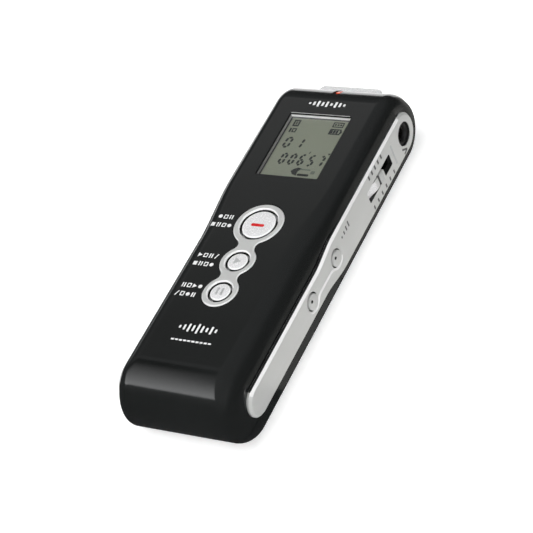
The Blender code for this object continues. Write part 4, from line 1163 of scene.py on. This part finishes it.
def make_usb_port():
    """A folded steel shell with rolled lips round the mouth and a tongue with contacts."""
    half_y = USB_SIZE[0] / 2
    half_z = USB_SIZE[1] / 2
    mouth_x = SIDE_X - 0.1
    back_x = mouth_x - 9.0
    outline = rounded_box((USB_Y, AXIS_Z), half_y, half_z, 0.7)
    shell = plate("usb_port_detailed", outline, FACE_LEFT, back_x, mouth_x, STEEL)
    inner = rounded_box((USB_Y, AXIS_Z), half_y - 0.35, half_z - 0.35, 0.4)
    combine(shell, [plate("cut", inner, FACE_LEFT, back_x + 1.8, FAR)])
    piece(soften(shell, 0.06), "casing", "steel", "usb_port")
    tongue = box("usb_tongue_detailed", (-mouth_x + 1.6, USB_Y - 2.6, AXIS_Z - 0.4),
                 (-back_x - 1.4, USB_Y + 2.6, AXIS_Z + 0.4), SATIN_BLACK_AND_SHADE, 0.08)
    piece(tongue, "casing", "satin_black")
    contacts = [rounded_box((-mouth_x + 3.6, USB_Y + dy), 1.6, 0.22, 0.05)
                for dy in (-1.6, -0.8, 0.0, 0.8, 1.6)]
    gold = marks("usb_contacts", contacts, FACE_UP, AXIS_Z + 0.38, AXIS_Z + 0.45, BRIGHT)
    piece(gold, "casing", "bright_silver")


# ---- printed marks ----
# the symbols of each row from left to right, with the place of the last one
CAPTIONS = ((("dot", "box", "bars"), -8.0, 1.1), (("square", "bars", "box", "dot"), -7.3, -1.5),
            (("arrow", "box", "bars", "slash"), -5.9, -11.1),
            (("square", "bars", "box", "dot"), -6.0, -13.7),
            (("bars", "box", "arrow", "dot"), -5.6, -20.4),
            (("slash", "box", "dot", "bars"), -6.2, -23.0))


def symbol(kind, x, y):
    """One of the small generic symbols, about a millimetre and a third tall."""
    if kind == "dot":
        return [circle((x, y), 0.52)]
    if kind == "square":
        return [rounded_box((x, y), 0.5, 0.55, 0.08)]
    if kind == "box":
        return frame_bars((x, y), 0.54, 0.62, 0.24)
    if kind == "bars":
        return [rounded_box((x + dx, y), 0.16, 0.64, 0.05) for dx in (-0.31, 0.31)]
    if kind == "arrow":
        return [[(x - 0.5, y - 0.64), (x - 0.5, y + 0.64), (x + 0.55, y)]]
    return [bar((x - 0.27, y - 0.7), (x + 0.32, y + 0.7), 0.25)]


def bar_row(y, half_width, heights):
    """Upright bars of different heights in a row across the front."""
    return [rounded_box((-4.8 + 1.2 * k, y), half_width, height / 2, 0.2)
            for k, height in enumerate(heights)]


def make_front_print():
    """Generic symbols where a product would have its captions."""
    shapes = bar_row(39.95, 0.3, (0.7, 1.2, 1.9, 1.3, 1.8, 0.9, 1.9, 1.4, 0.8))
    for kinds, end_x, y in CAPTIONS:
        for k, kind in enumerate(reversed(kinds)):
            shapes += symbol(kind, end_x - SYMBOL_PITCH * k, y)
    shapes += bar_row(-32.3, 0.26, (0.8, 1.5, 2.3, 1.7, 2.8, 1.9, 1.2, 2.2, 1.0))
    shapes += [rounded_box((-4.95 + 1.1 * k, -36.0), 0.4, 0.22, 0.08) for k in range(10)]
    piece(marks("front_print", shapes, FACE_UP, THICKNESS - PRINT_SINK, THICKNESS + PRINT_LIFT,
                PRINT_WHITE), "casing", "white_plastic")


def make_side_print():
    """Ticks beside the slide switch, an angle near the jack and bars near the volume buttons."""
    shapes = [bar((29.9 - 1.8 * k, 12.3), (30.5 - 1.8 * k, 12.3), 1.2) for k in range(5)]
    shapes += [bar((32.6 - 2.4 * k, 4.6), (33.15 - 2.4 * k, 4.6), 1.1) for k in range(6)]
    shapes += [bar((38.96, 5.78), (40.92, 4.38), 0.5), bar((40.92, 4.38), (39.31, 4.1), 0.5)]
    for k in range(4):
        y = 5.6 + 1.3 * k
        shapes.append(bar((y, 10.2), (y, 10.8 + 0.35 * k), 0.45))
    high = TRIM_FACE_X + PRINT_LIFT
    piece(marks("side_print", shapes, FACE_RIGHT, TRIM_FACE_X - 0.2, high, PRINT_AND_SHADE_GREY), "casing",
          "satin_black")


# ---- inside and carried-over nodes ----
CARRIED = (
    (LCD_GREY, "display_panel"),
    (WHITE, "display_backlight record_led"),
    (RUBBER, "zebra_connector"),
    (BOARD_GREEN, "main_board"),
    (SATIN_BLACK_AND_SHADE, "battery_tray"),
    (CELL_WRAP, "battery_cell_left battery_cell_right"),
    (CHIP_BLACK, "processor_chip flash_chip speaker microphone_capsule_left microphone_capsule_right"
                 " rec_switch play_switch pause_switch volume_up_switch volume_down_switch"),
    (STEEL, "clock_crystal battery_spring_left battery_spring_right contact_plate_left"
            " contact_plate_right slide_switch_body"),
    (STEEL, "case_screw_1 case_screw_2 case_screw_3 case_screw_4"),
)


def paint_carried_nodes():
    for material, names in CARRIED:
        for name in names.split():
            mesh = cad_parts[name].data
            mesh.materials.clear()
            mesh.materials.append(material)
            mesh.set_sharp_from_angle(angle=SHARP_ANGLE)


# ---- studio ----
def make_camera():
    """A long lens over the lower right corner, rolled so that the recorder leans to the right."""
    azimuth = math.radians(CAMERA_AZIMUTH)
    elevation = math.radians(CAMERA_ELEVATION)
    roll = math.radians(CAMERA_ROLL)
    back = Vector((math.sin(azimuth) * math.cos(elevation), -math.cos(azimuth) * math.cos(elevation),
                   math.sin(elevation)))
    level_right = Vector((math.cos(azimuth), math.sin(azimuth), 0.0))
    level_up = back.cross(level_right)
    right = math.cos(roll) * level_right - math.sin(roll) * level_up
    up = math.sin(roll) * level_right + math.cos(roll) * level_up
    data = bpy.data.cameras.new("camera")
    data.lens = CAMERA_LENS
    data.sensor_width = SENSOR_WIDTH
    data.clip_start = 0.01
    data.clip_end = 20.0
    camera = add_object("camera", data)
    camera.matrix_world = (Matrix.Translation((AIM + back * CAMERA_DISTANCE) * MM)
                           @ Matrix((right, up, back)).transposed().to_4x4())
    bpy.context.scene.camera = camera


def level_corners(span_x, span_y, z):
    """Corners of a level rectangle."""
    return [(span_x[0], span_y[0], z), (span_x[1], span_y[0], z), (span_x[1], span_y[1], z),
            (span_x[0], span_y[1], z)]


def stage_plane(name, corners, material):
    """A staged quad through four corners in metres."""
    bm = bmesh.new()
    bm.faces.new([bm.verts.new(corner) for corner in corners])
    mesh = bpy.data.meshes.new(name)
    bm.to_mesh(mesh)
    bm.free()
    mesh.materials.append(material)
    obj = add_object(name, mesh)
    return obj


def hide_from(obj, *rays):
    for ray in rays:
        setattr(obj, "visible_" + ray, False)


def emission_material(name, strength):
    material = bpy.data.materials.new(name)
    material.use_nodes = True
    tree = material.node_tree
    tree.nodes.clear()
    emission = add_node(tree, "Emission", Strength=strength)
    add_node(tree, "OutputMaterial", Surface=emission.outputs["Emission"])
    return material, tree, emission


def graded_emission(name, strength, axis, places, first, second):
    """An emission that turns from the first colour to the second between two places in metres."""
    material, tree, emission = emission_material(name, strength)
    share = map_range(tree, coordinate(tree, axis), 0.0, 1.0, *places)
    fill(tree, emission, Color=mix_colours(tree, share, first, second))
    return material


def make_floor():
    """A pale floor and four bright walls, which only the camera sees."""
    surface = finish("floor_pale", (0.9, 0.9, 0.895), 0.7, 0.0, 0.01, 0.05, 40.0, 0.01,
                     Emission_Color=(1.0, 1.0, 1.0, 1.0), Emission_Strength=0.45)
    span = (-FLOOR_HALF, FLOOR_HALF)
    corners = level_corners(span, span, 0.0)
    floor = stage_plane("floor", corners, surface)
    hide_from(floor, "glossy")
    walls = emission_material("backdrop_pale", 0.9)[0]
    upper = level_corners(span, span, BACKDROP_HEIGHT)
    for index in range(4):
        nxt = (index + 1) % 4
        sides = [corners[index], corners[nxt], upper[nxt], upper[index]]
        wall = stage_plane("backdrop_%d" % index, sides, walls)
        hide_from(wall, "glossy", "diffuse", "transmission", "shadow")


def make_world():
    """Dim all round, and a little brighter overhead, as a studio is beyond its lights."""
    world = bpy.data.worlds.new("studio")
    bpy.context.scene.world = world
    world.use_nodes = True
    tree = world.node_tree
    height = map_range(tree, coordinate(tree, "Z", "Generated"), 0.0, 1.0, 0.25, 0.7)
    colour = mix_colours(tree, height, (0.06, 0.06, 0.062), (0.25, 0.255, 0.26))
    fill(tree, tree.nodes["Background"], Color=colour, Strength=1.0)


def mirrored_card(name, corners, material):
    """A card that only mirrors see."""
    hide_from(stage_plane(name, corners, material), "camera", "diffuse", "shadow")


def make_cards():
    """Cards for the right side, the top edge and the front, two of them with a falloff."""
    right = graded_emission("card_floor", 0.45, "X", (0.022, 0.034), (1.0, 0.98, 0.94),
                            (0.12, 0.12, 0.12))
    mirrored_card("card_right", level_corners((0.017, 0.7), (-0.032, 0.9), CARD_Z), right)
    white = emission_material("card_white", 1.8)[0]
    mirrored_card("card_end", level_corners((-0.4, 0.012), (0.052, 0.5), CARD_Z), white)
    ramp = graded_emission("card_ramp", 0.5, "Y", (0.36, 0.62), (0.2, 0.2, 0.2), (1.0, 1.0, 1.0))
    mirrored_card("card_front", level_corners((-0.75, -0.3), (0.34, 0.8), SOFTBOX_Z), ramp)


def make_softbox():
    """A bank light over the lower left that fades towards the microphone end."""
    material = graded_emission("softbox", 3.4, "Y", (-0.6, 0.08), (0.98, 0.99, 1.0), (0.0, 0.0, 0.0))
    corners = level_corners((-1.5, -0.36), (-0.69, 0.20), SOFTBOX_Z)
    hide_from(stage_plane("softbox", corners[::-1], material), "camera", "shadow")


def make_lamp(name, place, size, power):
    """A soft lamp for the matt surfaces, which glossy ones don't mirror."""
    data = bpy.data.lights.new(name, "AREA")
    data.shape = "DISK"
    data.size = size
    data.energy = power
    lamp = add_object(name, data)
    lamp.location = place
    lamp.rotation_euler = Vector(place).to_track_quat("Z", "Y").to_euler()
    hide_from(lamp, "glossy")


make_front_shell()
make_back_shell()
make_battery_door()
make_right_trim()
make_left_trim()
make_button_bezel()
make_front_buttons()
make_volume_buttons()
make_slide_knob()
make_microphone_head()
make_display_window()
make_display_ink()
make_record_light()
make_jack("headphone_jack", 1)
make_jack("line_in_jack", -1)
make_usb_port()
make_front_print()
make_side_print()
paint_carried_nodes()
make_camera()
make_floor()
make_world()
make_softbox()
make_cards()
make_lamp("lamp_over", (-0.3, -0.2, 1.4), 1.2, 11.5)
make_lamp("lamp_right", (0.75, -0.75, 0.8), 0.7, 9.0)
bpy.context.scene.view_settings.view_transform = "Standard"
